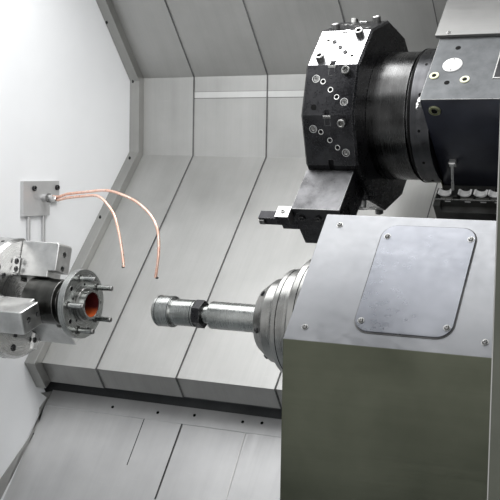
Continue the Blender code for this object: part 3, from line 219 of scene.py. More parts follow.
def blackened(name, dark, light, edge, rough=(0.2, 0.44), metallic=0.85, wear=0.55):
    """Black oxide or black paint: uneven oil film, rubbed brighter along its edges."""
    look = Look(name, metallic)
    cloud = look.noise((16, 16, 16), 5.0, 0.62)
    fine = look.noise((260, 260, 260), 3.0)
    film = look.mixed(look.remap(cloud, 0.36, 0.68), dark, light)
    rub = look.worn(look.remap(look.noise((70, 70, 70)), 0.38, 0.58, 0.1, wear), 0.0011)
    look.to("Base Color", look.mixed(rub, film, edge))
    look.to("Roughness", look.remap(look.maths("ADD", cloud, fine), 0.75, 1.25, *rough))
    look.bump(fine, 0.1, 0.0005)
    return look.material


def painted(name, dark, light, rough=(0.34, 0.5), peel=0.1, size=420):
    """Paint with a fine orange peel, slight fading, and patches of dirt."""
    look = Look(name)
    peel_height = look.noise((size, size, size), 2.0)
    cloud = look.noise((3, 3, 3), 4.0)
    grime = look.noise((24, 24, 9), 5.0, 0.65)
    coat = look.mixed(look.remap(cloud, 0.35, 0.65), dark, light)
    dirt = look.remap(grime, 0.62, 0.8, 0.0, 0.08)
    look.to("Base Color", look.mixed(dirt, coat, tuple(c * 0.72 for c in dark)))
    look.to("Roughness", look.remap(look.maths("ADD", cloud, grime), 0.75, 1.3, *rough))
    look.bump(peel_height, peel, 0.0006)
    return look.material


def cast(name, dark, light):
    """Painted iron casting: a lumpy skin under the paint."""
    look = Look(name, 0.1)
    skin = look.noise((110, 110, 110), 5.0, 0.6)
    cloud = look.noise((7, 7, 7), 4.0)
    look.cloudy(cloud, dark, light)
    look.to("Roughness", look.remap(skin, 0.35, 0.65, 0.42, 0.62))
    look.bump(skin, 0.35, 0.0012)
    return look.material


def copper_tube():
    look = Look("copper_tube", 0.75)
    cloud = look.noise((60, 60, 60), 4.0)
    look.cloudy(cloud, (0.86, 0.5, 0.38), (0.95, 0.7, 0.6))
    look.to("Roughness", look.remap(look.noise((150, 150, 150), 3.0), 0.3, 0.7, 0.24, 0.42))
    look.bump(cloud, 0.05, 0.0006)
    return look.material


def rubber(name, tone, shine=0.4):
    look = Look(name)
    look.shader.inputs["Specular IOR Level"].default_value = shine
    grain = look.noise((600, 600, 600), 3.0)
    cloud = look.noise((20, 20, 20), 3.0)
    dark, light = (tone * 0.7,) * 3, (tone * 1.5,) * 3
    look.cloudy(cloud, dark, light)
    look.to("Roughness", look.remap(cloud, 0.3, 0.7, 0.55, 0.75))
    look.bump(grain, 0.15, 0.0004)
    return look.material


def plastic(name, dark, light, rough=(0.25, 0.4)):
    look = Look(name)
    cloud = look.noise((30, 30, 30), 3.0)
    look.cloudy(cloud, dark, light)
    look.to("Roughness", look.remap(cloud, 0.35, 0.65, *rough))
    look.bump(look.noise((500, 500, 500), 2.0), 0.06, 0.0005)
    return look.material


def window():
    look = Look("window_pane", 0.0, 0.03)
    look.shader.inputs["Transmission Weight"].default_value = 1.0
    look.shader.inputs["IOR"].default_value = 1.45
    smear = look.noise((9, 9, 22), 5.0, 0.65)
    look.cloudy(smear, (0.93, 0.97, 0.96), (0.86, 0.92, 0.91), 0.4, 0.7)
    look.to("Roughness", look.remap(smear, 0.45, 0.75, 0.02, 0.12))
    return look.material


def bore_stain_and_shade():
    """The oily red-brown inside of the workpiece's bore, dark towards its top as painted shade and
    orange towards its bottom.
    """
    look = Look("bore_stain_and_shade", 0.35)
    cloud = look.noise((60, 60, 60), 4.0)
    # Painted shade: dark towards the top of the bore, orange towards its bottom
    height = look.remap(look.along("Z"), AXIS_HEIGHT - 0.006, AXIS_HEIGHT - 0.028)
    patchy = look.remap(look.blend(height, cloud, 1.0, 0.8), 0.45, 1.15)
    look.to("Base Color", look.mixed(patchy, (0.06, 0.008, 0.01), (0.62, 0.12, 0.03)))
    look.to("Roughness", look.remap(cloud, 0.3, 0.7, 0.25, 0.5))
    return look.material


COVER_STEEL = sheet_steel("cover_steel", (0.36, 0.36, 0.35), (0.46, 0.46, 0.45), (0.4, 0.54),
                          (260, 8, 8), 0.7)
# The covers' pressed bead: a lighter copy of the cover steel as painted highlight, and a darker copy
# for its creases as painted shade
BEAD_HIGHLIGHT_STEEL = sheet_steel("bead_painted_highlight", (0.52, 0.52, 0.51), (0.62, 0.62, 0.61), (0.34, 0.46),
                         (260, 8, 8), 0.7)
CREASE_SHADE_STEEL = sheet_steel("crease_painted_shade", (0.17, 0.17, 0.165), (0.24, 0.24, 0.235))
# A darker copy of the cover steel, painted shade on the covers' low faces that face along Y
COVER_SHADE_STEEL = sheet_steel("cover_painted_shade", (0.26, 0.26, 0.255), (0.36, 0.36, 0.35))
TRIM_STEEL = sheet_steel("trim_steel", (0.3, 0.3, 0.29), (0.4, 0.4, 0.385), (0.36, 0.5))
GUARD_STEEL = sheet_steel("guard_steel", (0.46, 0.46, 0.465), (0.6, 0.6, 0.6), (0.4, 0.55),
                          (260, 7, 7), 0.6)
# The tailstock cover is one sheet: a darker copy for its front and sides is painted shade, a lighter
# copy for its slanted top is painted light
TAIL_SHADED_STEEL = sheet_steel("tail_front_painted_shade", (0.08, 0.086, 0.062), (0.125, 0.132, 0.098), (0.3, 0.46),
                         (9, 220, 220))
TAIL_LIT_STEEL = sheet_steel("tail_top_painted_light", (0.18, 0.185, 0.195), (0.26, 0.265, 0.275),
                             (0.28, 0.42), (60, 90, 90))
PLATE_STEEL = sheet_steel("plate_steel", (0.14, 0.147, 0.165), (0.25, 0.258, 0.28), (0.26, 0.4),
                          (60, 90, 90))
BRACKET_STEEL = sheet_steel("bracket_steel", (0.48, 0.48, 0.48), (0.58, 0.58, 0.58), (0.4, 0.55),
                            (90, 90, 90), 0.5)
SLIDE_STEEL = sheet_steel("slide_steel", (0.17, 0.17, 0.166), (0.23, 0.23, 0.225), (0.36, 0.5),
                          (9, 160, 160), 0.7)
# Very dark steel for the opening's jamb and the strip beside it, painted shade
JAMB_SHADE_STEEL = sheet_steel("jamb_painted_shade", (0.075, 0.08, 0.065), (0.12, 0.125, 0.105), (0.35, 0.5),
                         (160, 160, 8))
TURNED = turned_steel("turned_steel", (0.28, 0.29, 0.28), (0.44, 0.45, 0.44), (0.2, 0.34))
TURNED_NOSE = turned_steel("turned_nose", (0.24, 0.24, 0.232), (0.4, 0.4, 0.388), (0.22, 0.38))
TURNED_CHUCK = turned_steel("turned_chuck", (0.44, 0.44, 0.435), (0.62, 0.62, 0.61), (0.2, 0.34))
TURNED_GREY = turned_steel("turned_grey", (0.03, 0.03, 0.028), (0.085, 0.085, 0.08), (0.24, 0.4))
TURNED_HUB = turned_steel("turned_hub", (0.028, 0.028, 0.028), (0.075, 0.075, 0.075),
                          (0.2, 0.34), (TURRET_Y, TURRET_Z))
TURNED_DARK = turned_steel("turned_dark", (0.05, 0.051, 0.054), (0.11, 0.11, 0.115), (0.24, 0.4),
                           (TURRET_Y, TURRET_Z))
MILLED = milled_steel("milled_steel", (0.46, 0.46, 0.46), (0.64, 0.64, 0.63))
SCREW_STEEL = milled_steel("screw_steel", (0.12, 0.12, 0.115), (0.26, 0.26, 0.255), (0.26, 0.42))
OXIDE = blackened("black_oxide", (0.016, 0.016, 0.018), (0.045, 0.045, 0.048), (0.34, 0.34, 0.33),
                  (0.2, 0.4))
HOLDER_TOP_STEEL = milled_steel("holder_top", (0.06, 0.06, 0.062), (0.14, 0.14, 0.145),
                                (0.26, 0.42))
# A lighter copy for the turret facet that mirrors the lamp, painted highlight
FACE_A_LIT_STEEL = milled_steel("face_a_painted_highlight", (0.13, 0.13, 0.135), (0.19, 0.19, 0.195), (0.24, 0.36))
DARK_PLATE = milled_steel("dark_plate", (0.02, 0.02, 0.021), (0.04, 0.04, 0.042), (0.35, 0.5))
HOUSING_PAINT = blackened("housing_paint", (0.01, 0.011, 0.017), (0.018, 0.02, 0.03),
                          (0.22, 0.23, 0.25), (0.28, 0.42), 0.25, 0.2)
# A lighter copy of the housing's dark finish for its upward top facet, painted light
HOUSING_TOP_LIT_STEEL = milled_steel("housing_top_painted_light", (0.06, 0.063, 0.065),
                                 (0.098, 0.102, 0.106), (0.34, 0.5))
CHAIN_PLASTIC = plastic("chain_plastic", (0.014, 0.014, 0.013), (0.035, 0.036, 0.034), (0.35, 0.5))
LINK_PLASTIC = plastic("link_plastic", (0.08, 0.082, 0.072), (0.14, 0.142, 0.128), (0.35, 0.5))
CONSOLE_PLASTIC = painted("console_paint", (0.045, 0.048, 0.052), (0.07, 0.073, 0.078))
SCREEN_GLASS = plastic("screen_glass", (0.01, 0.013, 0.018), (0.018, 0.024, 0.034), (0.04, 0.09))
WALL_PAINT = painted("wall_paint", (0.8, 0.81, 0.82), (0.86, 0.87, 0.88), (0.3, 0.42), 0.04)
PANEL_PAINT = painted("panel_paint", (0.62, 0.64, 0.65), (0.66, 0.68, 0.69), (0.4, 0.5), 0.2, 260)
CAST_PAINT = cast("cast_paint_coat", (0.32, 0.34, 0.35), (0.37, 0.39, 0.4))
# A dark copy of the cast paint for castings deep under the covers, painted shade
CAST_SHADE = cast("cast_painted_shade", (0.045, 0.048, 0.05), (0.075, 0.079, 0.082))
JAW_STEEL = milled_steel("jaw_steel", (0.5, 0.5, 0.495), (0.7, 0.7, 0.69), (0.3, 0.46))
DULL_OXIDE = rubber("dull_oxide", 0.085, 0.25)
SHADOW_LINE = rubber("shadow_line", 0.05, 0.1)
COPPER = copper_tube()
WIPER_RUBBER = rubber("wiper_rubber", 0.09)
GLASS_PANE = window()
RED_PLASTIC = plastic("red_plastic", (0.52, 0.015, 0.012), (0.66, 0.025, 0.02))
OLIVE_BRASS = milled_steel("olive_brass", (0.16, 0.17, 0.08), (0.3, 0.31, 0.16))
PALE_PLUG = plastic("pale_plug", (0.62, 0.62, 0.4), (0.74, 0.74, 0.56))
# White paint for real caps and keys, also used as painted highlight on the chain's straps and on a
# seam of the guard
WHITE_CAP_AND_HIGHLIGHT = painted("white_cap_and_painted_highlight", (0.62, 0.62, 0.61), (0.72, 0.72, 0.71))
# Near black for holes and grooves as painted shade, and for dark seam lines
HOLE_SHADE_AND_SEAM = rubber("hole_painted_shade_and_seam", 0.006, 0.05)
STAIN_AND_SHADE = bore_stain_and_shade()


# Finish of the CAD nodes

def dress(names, material, width=0.0008, sharp=30, second=None, where=None):
    """Gives CAD nodes a material, small rounded edges and smooth shading between sharp edges.

    The second material goes on the faces for which where(centre, normal) holds.
    """
    for name in names.split():
        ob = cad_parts[name]
        mesh = ob.data
        mesh.materials.clear()
        mesh.materials.append(material)
        mesh.polygons.foreach_set("material_index", [0] * len(mesh.polygons))
        if second:
            mesh.materials.append(second)
            turn = ob.matrix_world.to_3x3()
            for polygon in mesh.polygons:
                if where(ob.matrix_world @ polygon.center, turn @ polygon.normal):
                    polygon.material_index = 1
        if "custom_normal" in mesh.attributes:
            mesh.attributes.remove(mesh.attributes["custom_normal"])
        weld = ob.modifiers.new("weld", "WELD")
        weld.merge_threshold = WELD_DISTANCE
        mesh.shade_smooth()
        if not width:
            split = ob.modifiers.new("split", "EDGE_SPLIT")
            split.split_angle = radians(sharp)
            split.use_edge_sharp = False
        else:
            bevel = ob.modifiers.new("edge", "BEVEL")
            bevel.width = width
            bevel.segments = 2
            bevel.limit_method = "ANGLE"
            bevel.angle_limit = radians(sharp)
            bevel.use_clamp_overlap = True
            normals = ob.modifiers.new("normals", "WEIGHTED_NORMAL")
            normals.weight = FLAT_WEIGHT


def dress_frame():
    dress("base_frame headstock tailstock_casting", CAST_PAINT, 0.003)
    # The bed casting, shelf and saddle take the dark copy, painted shade
    dress("bed_casting tailstock_shelf saddle", CAST_SHADE, 0.003)
    # The covers' low faces turned along Y take the darker copy, painted shade
    dress("cover_1 cover_2 cover_3 cover_4 carriage_cover saddle_skirt right_cover_1 right_cover_2 "
          "right_cover_3", COVER_STEEL, 0.0005, 20, COVER_SHADE_STEEL,
          lambda c, n: abs(n.y) > 0.7 and c.z < 0.95)
    dress("chip_guard", GUARD_STEEL, 0.0008)
    dress("wall_trim", TRIM_STEEL, 0.001)
    # Front and sides get the darker copy as painted shade, the upward faces the lighter copy as
    # painted light
    dress("tailstock_cover", TAIL_SHADED_STEEL, 0.0015, 20, TAIL_LIT_STEEL, lambda c, n: n.z > 0.3)
    dress("cover_plate", PLATE_STEEL, 0.0005)
    dress("coolant_plate feed_pipe_1 feed_pipe_2", BRACKET_STEEL, 0.0006, 50)
    dress("headstock_wall right_wall", WALL_PAINT, 0.001)
    dress("left_side_panel right_side_panel rear_panel roof_panel front_apron front_left_panel "
          "header_panel door_frame", PANEL_PAINT, 0, 50)
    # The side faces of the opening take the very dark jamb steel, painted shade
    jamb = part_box("front_right_panel")[0].x
    dress("front_right_panel", PANEL_PAINT, 0, 50, JAMB_SHADE_STEEL,
          lambda c, n: n.x < -0.9 and c.x < jamb + 0.2)
    dress("slide_cover", SLIDE_STEEL, 0.0012)
    dress("coolant_pipe_long coolant_pipe_short", COPPER, 0, 60)
    dress("control_panel", CONSOLE_PLASTIC, 0.003)
    dress("control_screen", SCREEN_GLASS, 0.0006)
    # The upward top facet takes the lighter copy, painted light
    dress("turret_housing", HOUSING_PAINT, 0, 50, HOUSING_TOP_LIT_STEEL,
          lambda c, n: n.dot(SLIDE_OFF) > 0.9)
    dress("chain_tray cable_chain", CHAIN_PLASTIC, 0.0008)
    dress("door_window", GLASS_PANE, 0.0008)
    dress("turret_hub", TURNED_HUB, 0.0008)
    dress("hub_flange", TURNED_DARK, 0.0008)
    dress("spindle quill live_centre", TURNED, 0.0008)
    dress("tailstock_nose", TURNED_NOSE, 0.0008)
    dress("chuck_body", TURNED_CHUCK, 0.0008)
    dress("work_flange", TURNED, 0.0006, 30, TURNED_GREY, lambda c, n: c.x < -0.235)
    dress("jaw_1 jaw_2 jaw_3", JAW_STEEL, 0, 30)
    dress("door_handle", MILLED, 0, 30)
    dress("tool_clamp", MILLED, 0, 30, OXIDE, lambda c, n: n.dot(SLIDE_UP) < -0.9)
    # Facet A, which mirrors the lamp, takes the lighter copy as a painted highlight
    face_a = station_axes(FACE_A)[0]
    dress("turret_disc", OXIDE, 0, 12, FACE_A_LIT_STEEL, lambda c, n: n.dot(face_a) > 0.999)
    dress("tool_holder tool_bar centre_nut", OXIDE, 0.0007)
    dress("stop_button", RED_PLASTIC, 0.001)


# Making pieces

SMOOTH_ANGLE = radians(35)
HEXAGON_SECTOR = pi / 3
CORNER_STEPS = 8


def piece(name, bm, material, body):
    """Finishes a piece, in the shared frame, and lets it ride on a body."""
    bmesh.ops.recalc_face_normals(bm, faces=bm.faces)
    mesh = bpy.data.meshes.new(name)
    bm.to_mesh(mesh)
    bm.free()
    mesh.materials.append(material)
    mesh.shade_smooth()
    mesh.set_sharp_from_angle(angle=SMOOTH_ANGLE)
    ob = bpy.data.objects.new(name, mesh)
    bpy.context.scene.collection.objects.link(ob)
    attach(ob, body)


def stand(point, outward, sideways=None):
    """Axes at a point: Z outward, X sideways."""
    z = Vector(outward).normalized()
    side = Vector(sideways) if sideways is not None else z.orthogonal()
    x = (side - z * side.dot(z)).normalized()
    turn = Matrix((x, z.cross(x), z)).transposed().to_4x4()
    return Matrix.Translation(point) @ turn


def facing_front(x, y, z):
    return stand(Vector((x, y, z)), -Y_AXIS, X_AXIS)


def facing_x(pixel, x, sideways=None):
    """Axes where the photograph shows a pixel, on the plane at x."""
    return stand(seen_on(pixel, X_AXIS * x, X_AXIS), X_AXIS, sideways)


def on_axis(x):
    return stand(AXIS + X_AXIS * x, X_AXIS)


def round_x(angle):
    """A direction across the X axis, turned from straight up."""
    return Vector((0, sin(angle), cos(angle)))


def turned_shape(bm, place, profile, sides=20):
    """A turned form from (radius, height) rows, or (corner radius, height, True) for a hexagon."""
    rings = []
    for radius, height, *hexagonal in profile:
        if radius == 0:
            rings.append([bm.verts.new(place @ Vector((0, 0, height)))])
            continue
        ring = []
        for i in range(sides):
            a = tau * i / sides
            r = radius
            if hexagonal:
                half = HEXAGON_SECTOR / 2
                r = radius * cos(half) / cos(a % HEXAGON_SECTOR - half)
            ring.append(bm.verts.new(place @ Vector((r * cos(a), r * sin(a), height))))
        rings.append(ring)
    for a, b in zip(rings, rings[1:]):
        for i in range(sides):
            j = (i + 1) % sides
            if len(a) == 1:
                bm.faces.new((a[0], b[i], b[j]))
            elif len(b) == 1:
                bm.faces.new((a[i], a[j], b[0]))
            else:
                bm.faces.new((a[i], a[j], b[j], b[i]))


def cap_screw(bm, place, radius, height, sides=24):
    """A socket cap screw: plain head, chamfered, with a hexagon socket."""
    edge, socket = radius * 0.14, radius * 0.58
    turned_shape(bm, place, [
        (0, -EASE), (radius, -EASE), (radius, height - edge), (radius - edge, height),
        (socket * 1.12, height), (socket, height - edge, True), (socket, height * 0.35, True),
        (0, height * 0.3)], sides)


def button_screw(bm, place, radius, height):
    """A low domed screw with a hexagon socket, on a thin washer."""
    rim, washer, socket = height * 0.22, radius * 1.25, radius * 0.42
    turned_shape(bm, place, [
        (0, -EASE), (washer, -EASE), (washer, rim), (radius, rim),
        (radius * 0.93, height * 0.55), (radius * 0.74, height * 0.88), (radius * 0.52, height),
        (socket, height, True), (socket, height * 0.35, True), (0, height * 0.32)], 24)


def rimmed_hole(bm, place, radius, height):
    """The light rim of a drilled and chamfered hole."""
    turned_shape(bm, place, [
        (radius, -EASE), (radius * 1.3, -EASE), (radius * 1.3, height * 0.6),
        (radius * 1.2, height), (radius, height * 0.4), (radius, -EASE)])


def nut(bm, place, bore, size, height, flat=0.009):
    turned_shape(bm, place, [(bore, 0), (size, 0, True), (size, flat, True), (bore + 0.0002, height),
                             (bore, height)], 24)


def disc(bm, place, radius, height, sides=20):
    turned_shape(bm, place, [(0, -EASE), (radius, -EASE), (radius, height), (0, height)], sides)


def band(bm, place, inner, outer, low, high, sides):
    """A ring of rectangular section."""
    turned_shape(bm, place, [(inner, low), (outer, low), (outer, high), (inner, high), (inner, low)],
                 sides)


def skin_tube(bm, rings, closed=False):
    """Faces from each ring of points to the next, and from the last to the first when closed."""
    for a, b in zip(rings, rings[1:] + rings[:1] if closed else rings[1:]):
        for i in range(len(a)):
            j = (i + 1) % len(a)
            bm.faces.new((a[i], a[j], b[j], b[i]))


def slab(bm, place, size, edge=0.0):
    """A box in the axes of a place, centred across and standing on it, with a chamfered top."""
    x, y, z = size[0] / 2, size[1] / 2, size[2]
    rows = [(x, y, -EASE), (x, y, z)]
    if edge:
        rows[1:] = (x, y, z - edge), (x - edge, y - edge, z)
    rings = [[bm.verts.new(place @ Vector((sx * rx, sy * ry, rz)))
              for sx, sy in ((1, 1), (-1, 1), (-1, -1), (1, -1))] for rx, ry, rz in rows]
    bm.faces.new(rings[0])
    bm.faces.new(rings[-1])
    skin_tube(bm, rings)


def plate(bm, low_ring, high_ring):
    """A flat form between two outlines."""
    rings = [[bm.verts.new(p) for p in ring] for ring in (low_ring, high_ring)]
    bm.faces.new(rings[0])
    bm.faces.new(rings[1])
    skin_tube(bm, rings)


def rounded_frame(bm, sides, radius, profile, spot):
    """A bar round a rectangle with round corners; its section has (growth, lift) rows."""
    x0, x1, y0, y1 = sides
    rings = []
    for grow, lift in profile:
        ring = []
        r = radius + grow
        for cx, cy, start in ((x1 - radius, y1 - radius, 0), (x0 + radius, y1 - radius, 1),
                              (x0 + radius, y0 + radius, 2), (x1 - radius, y0 + radius, 3)):
            for step in range(CORNER_STEPS + 1):
                a = (start + step / CORNER_STEPS) * pi / 2
                ring.append(bm.verts.new(spot(cx + r * cos(a), cy + r * sin(a), lift)))
        rings.append(ring)
    skin_tube(bm, rings, closed=True)


def strip(bm, chain, x0, x1, inner, outer):
    """A bent bar along X that follows a chain of (y, z), from one distance off it to another."""
    rows = [offset_chain(chain, inner), offset_chain(chain, outer)]
    verts = [[[bm.verts.new((x, y, z)) for y, z in row] for x in (x0, x1)] for row in rows]
    last = len(chain) - 1
    for i in range(last):
        for row in verts:
            bm.faces.new((row[0][i], row[1][i], row[1][i + 1], row[0][i + 1]))
        for side in (0, 1):
            near, far = verts[0][side], verts[1][side]
            bm.faces.new((near[i], far[i], far[i + 1], near[i + 1]))
    for i in (0, last):
        bm.faces.new((verts[0][0][i], verts[0][1][i], verts[1][1][i], verts[1][0][i]))


def offset_chain(points, distance):
    """The chain moved off its line, towards the back of the machine when positive."""
    normals = []
    for (y0, z0), (y1, z1) in zip(points, points[1:]):
        length = hypot(y1 - y0, z1 - z0)
        normals.append(((z1 - z0) / length, (y0 - y1) / length))
    moved = []
    for i, (y, z) in enumerate(points):
        before, after = normals[max(i - 1, 0)], normals[min(i, len(normals) - 1)]
        ny, nz = before[0] + after[0], before[1] + after[1]
        share = distance * 2 / (ny * ny + nz * nz)
        moved.append((y + ny * share, z + nz * share))
    return moved


def cover_chain(level):
    return offset_chain([(y, AXIS_HEIGHT + z) for y, z in COVER_POINTS], level * COVER_PITCH)


# Way covers, wall and guard

WIPER_WIDTH, WIPER_OUT = 0.002, 0.0006
BEAD_LOW_PIXEL, BEAD_HIGH_PIXEL = (230, 97.5), (230, 91.5)
BEAD_LIFT, CREASE_LIFT, LINE_WIDTH = 0.00018, 0.000162, 0.0022
TRIM_SCREW_PIXELS = ((106.5, 22.5), (132.7, 81.5), (129.5, 158), (100, 217), (33, 434))
TRIM_END_ROW = 400
TRIM_SCREW = (0.0036, 0.003)
GUARD_SCREW_PIXELS = ((112.7, 407), (157.8, 412.6), (194.5, 415.3), (242.7, 421.9), (262, 423))
GUARD_SEAM_PIXELS = ((145, 416), (189.2, 408), (248, 437))
GUARD_LINE_PIXELS = (((182, 424), (155, 499)), ((145, 417), (127, 465)), ((246, 430), (226, 499)))
GUARD_LINE_WIDTHS, GUARD_LINE_LIFT = (0.0036, 0.002, 0.0024), 0.0006
GUARD_LENGTH, GUARD_START, GUARD_LAP = 0.408, 0.012, 0.004
GUARD_LIFTS = (0.0022, 0.001)
GUARD_STRIP_DEPTH, GUARD_STRIP_LIFT = 0.045, 0.0034
CORNER_TRIM_PIXELS = ((40.7, 393), (46.7, 397.5), (39, 408), (37.7, 424.6), (-4, 485), (-4, 507),
                      (51.5, 391))
CORNER_TRIM_LIFT = 0.002


def make_wipers():
    """The dark lips at the free edge of each section of the telescopic covers."""
    rows = [(f"wiper_{n}", f"cover_{n}", body, n - 1, -EASE, WIPER_WIDTH, COVER_PITCH * 0.8)
            for n, body in enumerate(("root", "cover_2", "cover_3", "carriage"), 1)]
    rows += [("right_wiper_1", "right_cover_1", "carriage", 2, -WIPER_WIDTH, 0, 0),
             ("right_wiper_2", "right_cover_2", "right_cover_2", 1, -WIPER_WIDTH, 0, 0)]
    for name, node, body, level, start, end, back in rows:
        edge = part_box(node)[1].x
        bm = bmesh.new()
        strip(bm, cover_chain(level), edge + start, edge + end, -WIPER_OUT, back)
        piece(name, bm, WIPER_RUBBER, body)


def make_cover_beads():
    """A pressed band across each moving section, thin enough to slide under the next: lighter as a
    painted highlight, with darker strips of painted shade along its creases.
    """
    back = Y_AXIS * COVER_POINTS[2][0]
    low, high = (seen_on(p, back, Y_AXIS).z for p in (BEAD_LOW_PIXEL, BEAD_HIGH_PIXEL))
    for number, body in enumerate(("cover_2", "cover_3", "carriage"), 2):
        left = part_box(f"cover_{number - 1}")[1].x + WIPER_WIDTH
        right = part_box(f"cover_{number}")[1].x - EASE
        y = cover_chain(number - 1)[2][0]
        bead_highlight, crease_shade = bmesh.new(), bmesh.new()
        # The band is painted lighter as a highlight; the strips at its low and high edges are painted
        # shade of the creases
        for bm, z0, z1, lift in ((bead_highlight, low, high, BEAD_LIFT),
                                 (crease_shade, low - LINE_WIDTH, low, CREASE_LIFT),
                                 (crease_shade, high, high + LINE_WIDTH * 0.5, CREASE_LIFT)):
            place = facing_front((left + right) / 2, y, (z0 + z1) / 2)
            slab(bm, place, (right - left, z1 - z0, lift))
        piece(f"cover_bead_highlight_{number}", bead_highlight, BEAD_HIGHLIGHT_STEEL, body)
        piece(f"cover_crease_shade_{number}", crease_shade, CREASE_SHADE_STEEL, body)


def make_wall_trim():
    """Screws down the wall's trim, and the bent strip that follows the chip guard's left edge."""
    trim, wall = (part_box(name)[1].x for name in ("wall_trim", "headstock_wall"))
    bm = bmesh.new()
    for pixel in TRIM_SCREW_PIXELS:
        button_screw(bm, facing_x(pixel, wall if pixel[1] > TRIM_END_ROW else trim), *TRIM_SCREW)
    piece("trim_screws", bm, OXIDE, "root")
    bm = bmesh.new()
    outline = [seen_on(p, X_AXIS * wall, X_AXIS) for p in CORNER_TRIM_PIXELS]
    plate(bm, *([p + X_AXIS * lift for p in outline] for lift in (-EASE, CORNER_TRIM_LIFT)))
    piece("corner_trim", bm, TRIM_STEEL, "root")


def make_guard_panels():
    """Lapped sheets on the chip guard, dark lines of painted shadow at two laps and a light line of
    painted highlight at the third, and the screwed strip along its top.
    """
    point = Vector((0, GUARD_TOP_Y, AXIS_HEIGHT + GUARD_TOP_Z))
    down = Vector((0, -cos(GUARD_SLOPE), -sin(GUARD_SLOPE)))
    normal = Vector((0, -sin(GUARD_SLOPE), cos(GUARD_SLOPE)))
    left, right = (corner.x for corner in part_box("chip_guard"))
    seams = [seen_on(p, point, normal).x for p in GUARD_SEAM_PIXELS]
    edges = [left + EASE, *seams, right - EASE]
    for number, (x0, x1) in enumerate(zip(edges, edges[1:]), 1):
        odd = number % 2
        middle = point + X_AXIS * ((x0 + x1) / 2) + down * (GUARD_LENGTH / 2 + GUARD_START)
        bm = bmesh.new()
        slab(bm, stand(middle, normal, X_AXIS),
             (x1 - x0 + GUARD_LAP * odd, GUARD_LENGTH, GUARD_LIFTS[odd]), 0.0006)
        piece(f"guard_panel_{number}", bm, GUARD_STEEL, "root")
    # The first two lines are painted shadow at the laps; the third, a light line, is a painted
    # highlight
    lap_shadows, worn = bmesh.new(), bmesh.new()
    for pixels, width, bm in zip(GUARD_LINE_PIXELS, GUARD_LINE_WIDTHS, (lap_shadows, lap_shadows, worn)):
        top, foot = (seen_on(p, point + normal * GUARD_LIFTS[0], normal) for p in pixels)
        along = foot - top
        slab(bm, stand((top + foot) / 2, normal, along), (along.length, width, GUARD_LINE_LIFT))
    piece("guard_lap_shadows", lap_shadows, SHADOW_LINE, "root")
    piece("guard_edge_highlight", worn, WHITE_CAP_AND_HIGHLIGHT, "root")
    bm = bmesh.new()
    middle = point + X_AXIS * ((left + right) / 2) + down * GUARD_STRIP_DEPTH / 2
    size = (right - left - 0.002, GUARD_STRIP_DEPTH, GUARD_STRIP_LIFT)
    slab(bm, stand(middle, normal, X_AXIS), size, 0.0008)
    piece("guard_strip", bm, GUARD_STEEL, "root")
    bm = bmesh.new()
    # The strip's screws in near black, painted shade
    for pixel in GUARD_SCREW_PIXELS:
        place = seen_on(pixel, point + normal * GUARD_STRIP_LIFT, normal)
        turned_shape(bm, stand(place, normal), [
            (0, -EASE), (0.0038, -EASE), (0.0038, 0.0006), (0.0034, 0.001), (0.0022, 0.001),
            (0.0022, 0.0003, True), (0, 0.0003)], 18)
    piece("guard_screws", bm, HOLE_SHADE_AND_SEAM, "root")


# Coolant bracket

PLATE_LIFT, PLATE_SCREW = 0.01, (0.0065, 0.006)
PLATE_SCREW_PIXELS = ((33.7, 188.3), (56.6, 187.5))
FITTING_Y, FITTING_Z, FITTING_BACK = 0.352, 0.2, 0.016
END_POINTS = 10


def middle_of(points):
    return sum(points, Vector()) / len(points)


def make_coolant():
    """Screws of the bracket, the nuts where the pipes start, and the pipes' tips."""
    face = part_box("headstock_wall")[1].x + PLATE_LIFT
    bm = bmesh.new()
    for pixel in PLATE_SCREW_PIXELS:
        cap_screw(bm, facing_x(pixel, face), *PLATE_SCREW)
    piece("coolant_plate_screws", bm, OXIDE, "root")
    bm = bmesh.new()
    start = Vector((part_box("coolant_plate")[1].x - FITTING_BACK, FITTING_Y, AXIS_HEIGHT + FITTING_Z))
    nut(bm, stand(start, X_AXIS, Z_AXIS), 0.009, 0.0112, 0.0105)
    piece("coolant_fitting_nut", bm, SCREW_STEEL, "root")
    for name in ("long", "short"):
        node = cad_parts[f"coolant_pipe_{name}"]
        points = [node.matrix_world @ v.co for v in node.data.vertices]
        bm = bmesh.new()
        foot = middle_of(sorted(points, key=lambda p: p.x)[:END_POINTS])
        nut(bm, stand(foot, X_AXIS, Z_AXIS), 0.0036, 0.0058, 0.011)
        piece(f"coolant_nut_{name}", bm, MILLED, "root")
        bm = bmesh.new()
        tip = middle_of(sorted(points, key=lambda p: p.z)[:END_POINTS]) + Z_AXIS * 0.002
        turned_shape(bm, stand(tip, -Z_AXIS), [
            (0, 0), (0.0036, 0), (0.0036, 0.003), (0.0026, 0.0038), (0.0022, 0.003), (0, 0.003)])
        piece(f"coolant_tip_{name}", bm, OXIDE, "root")


# Turret

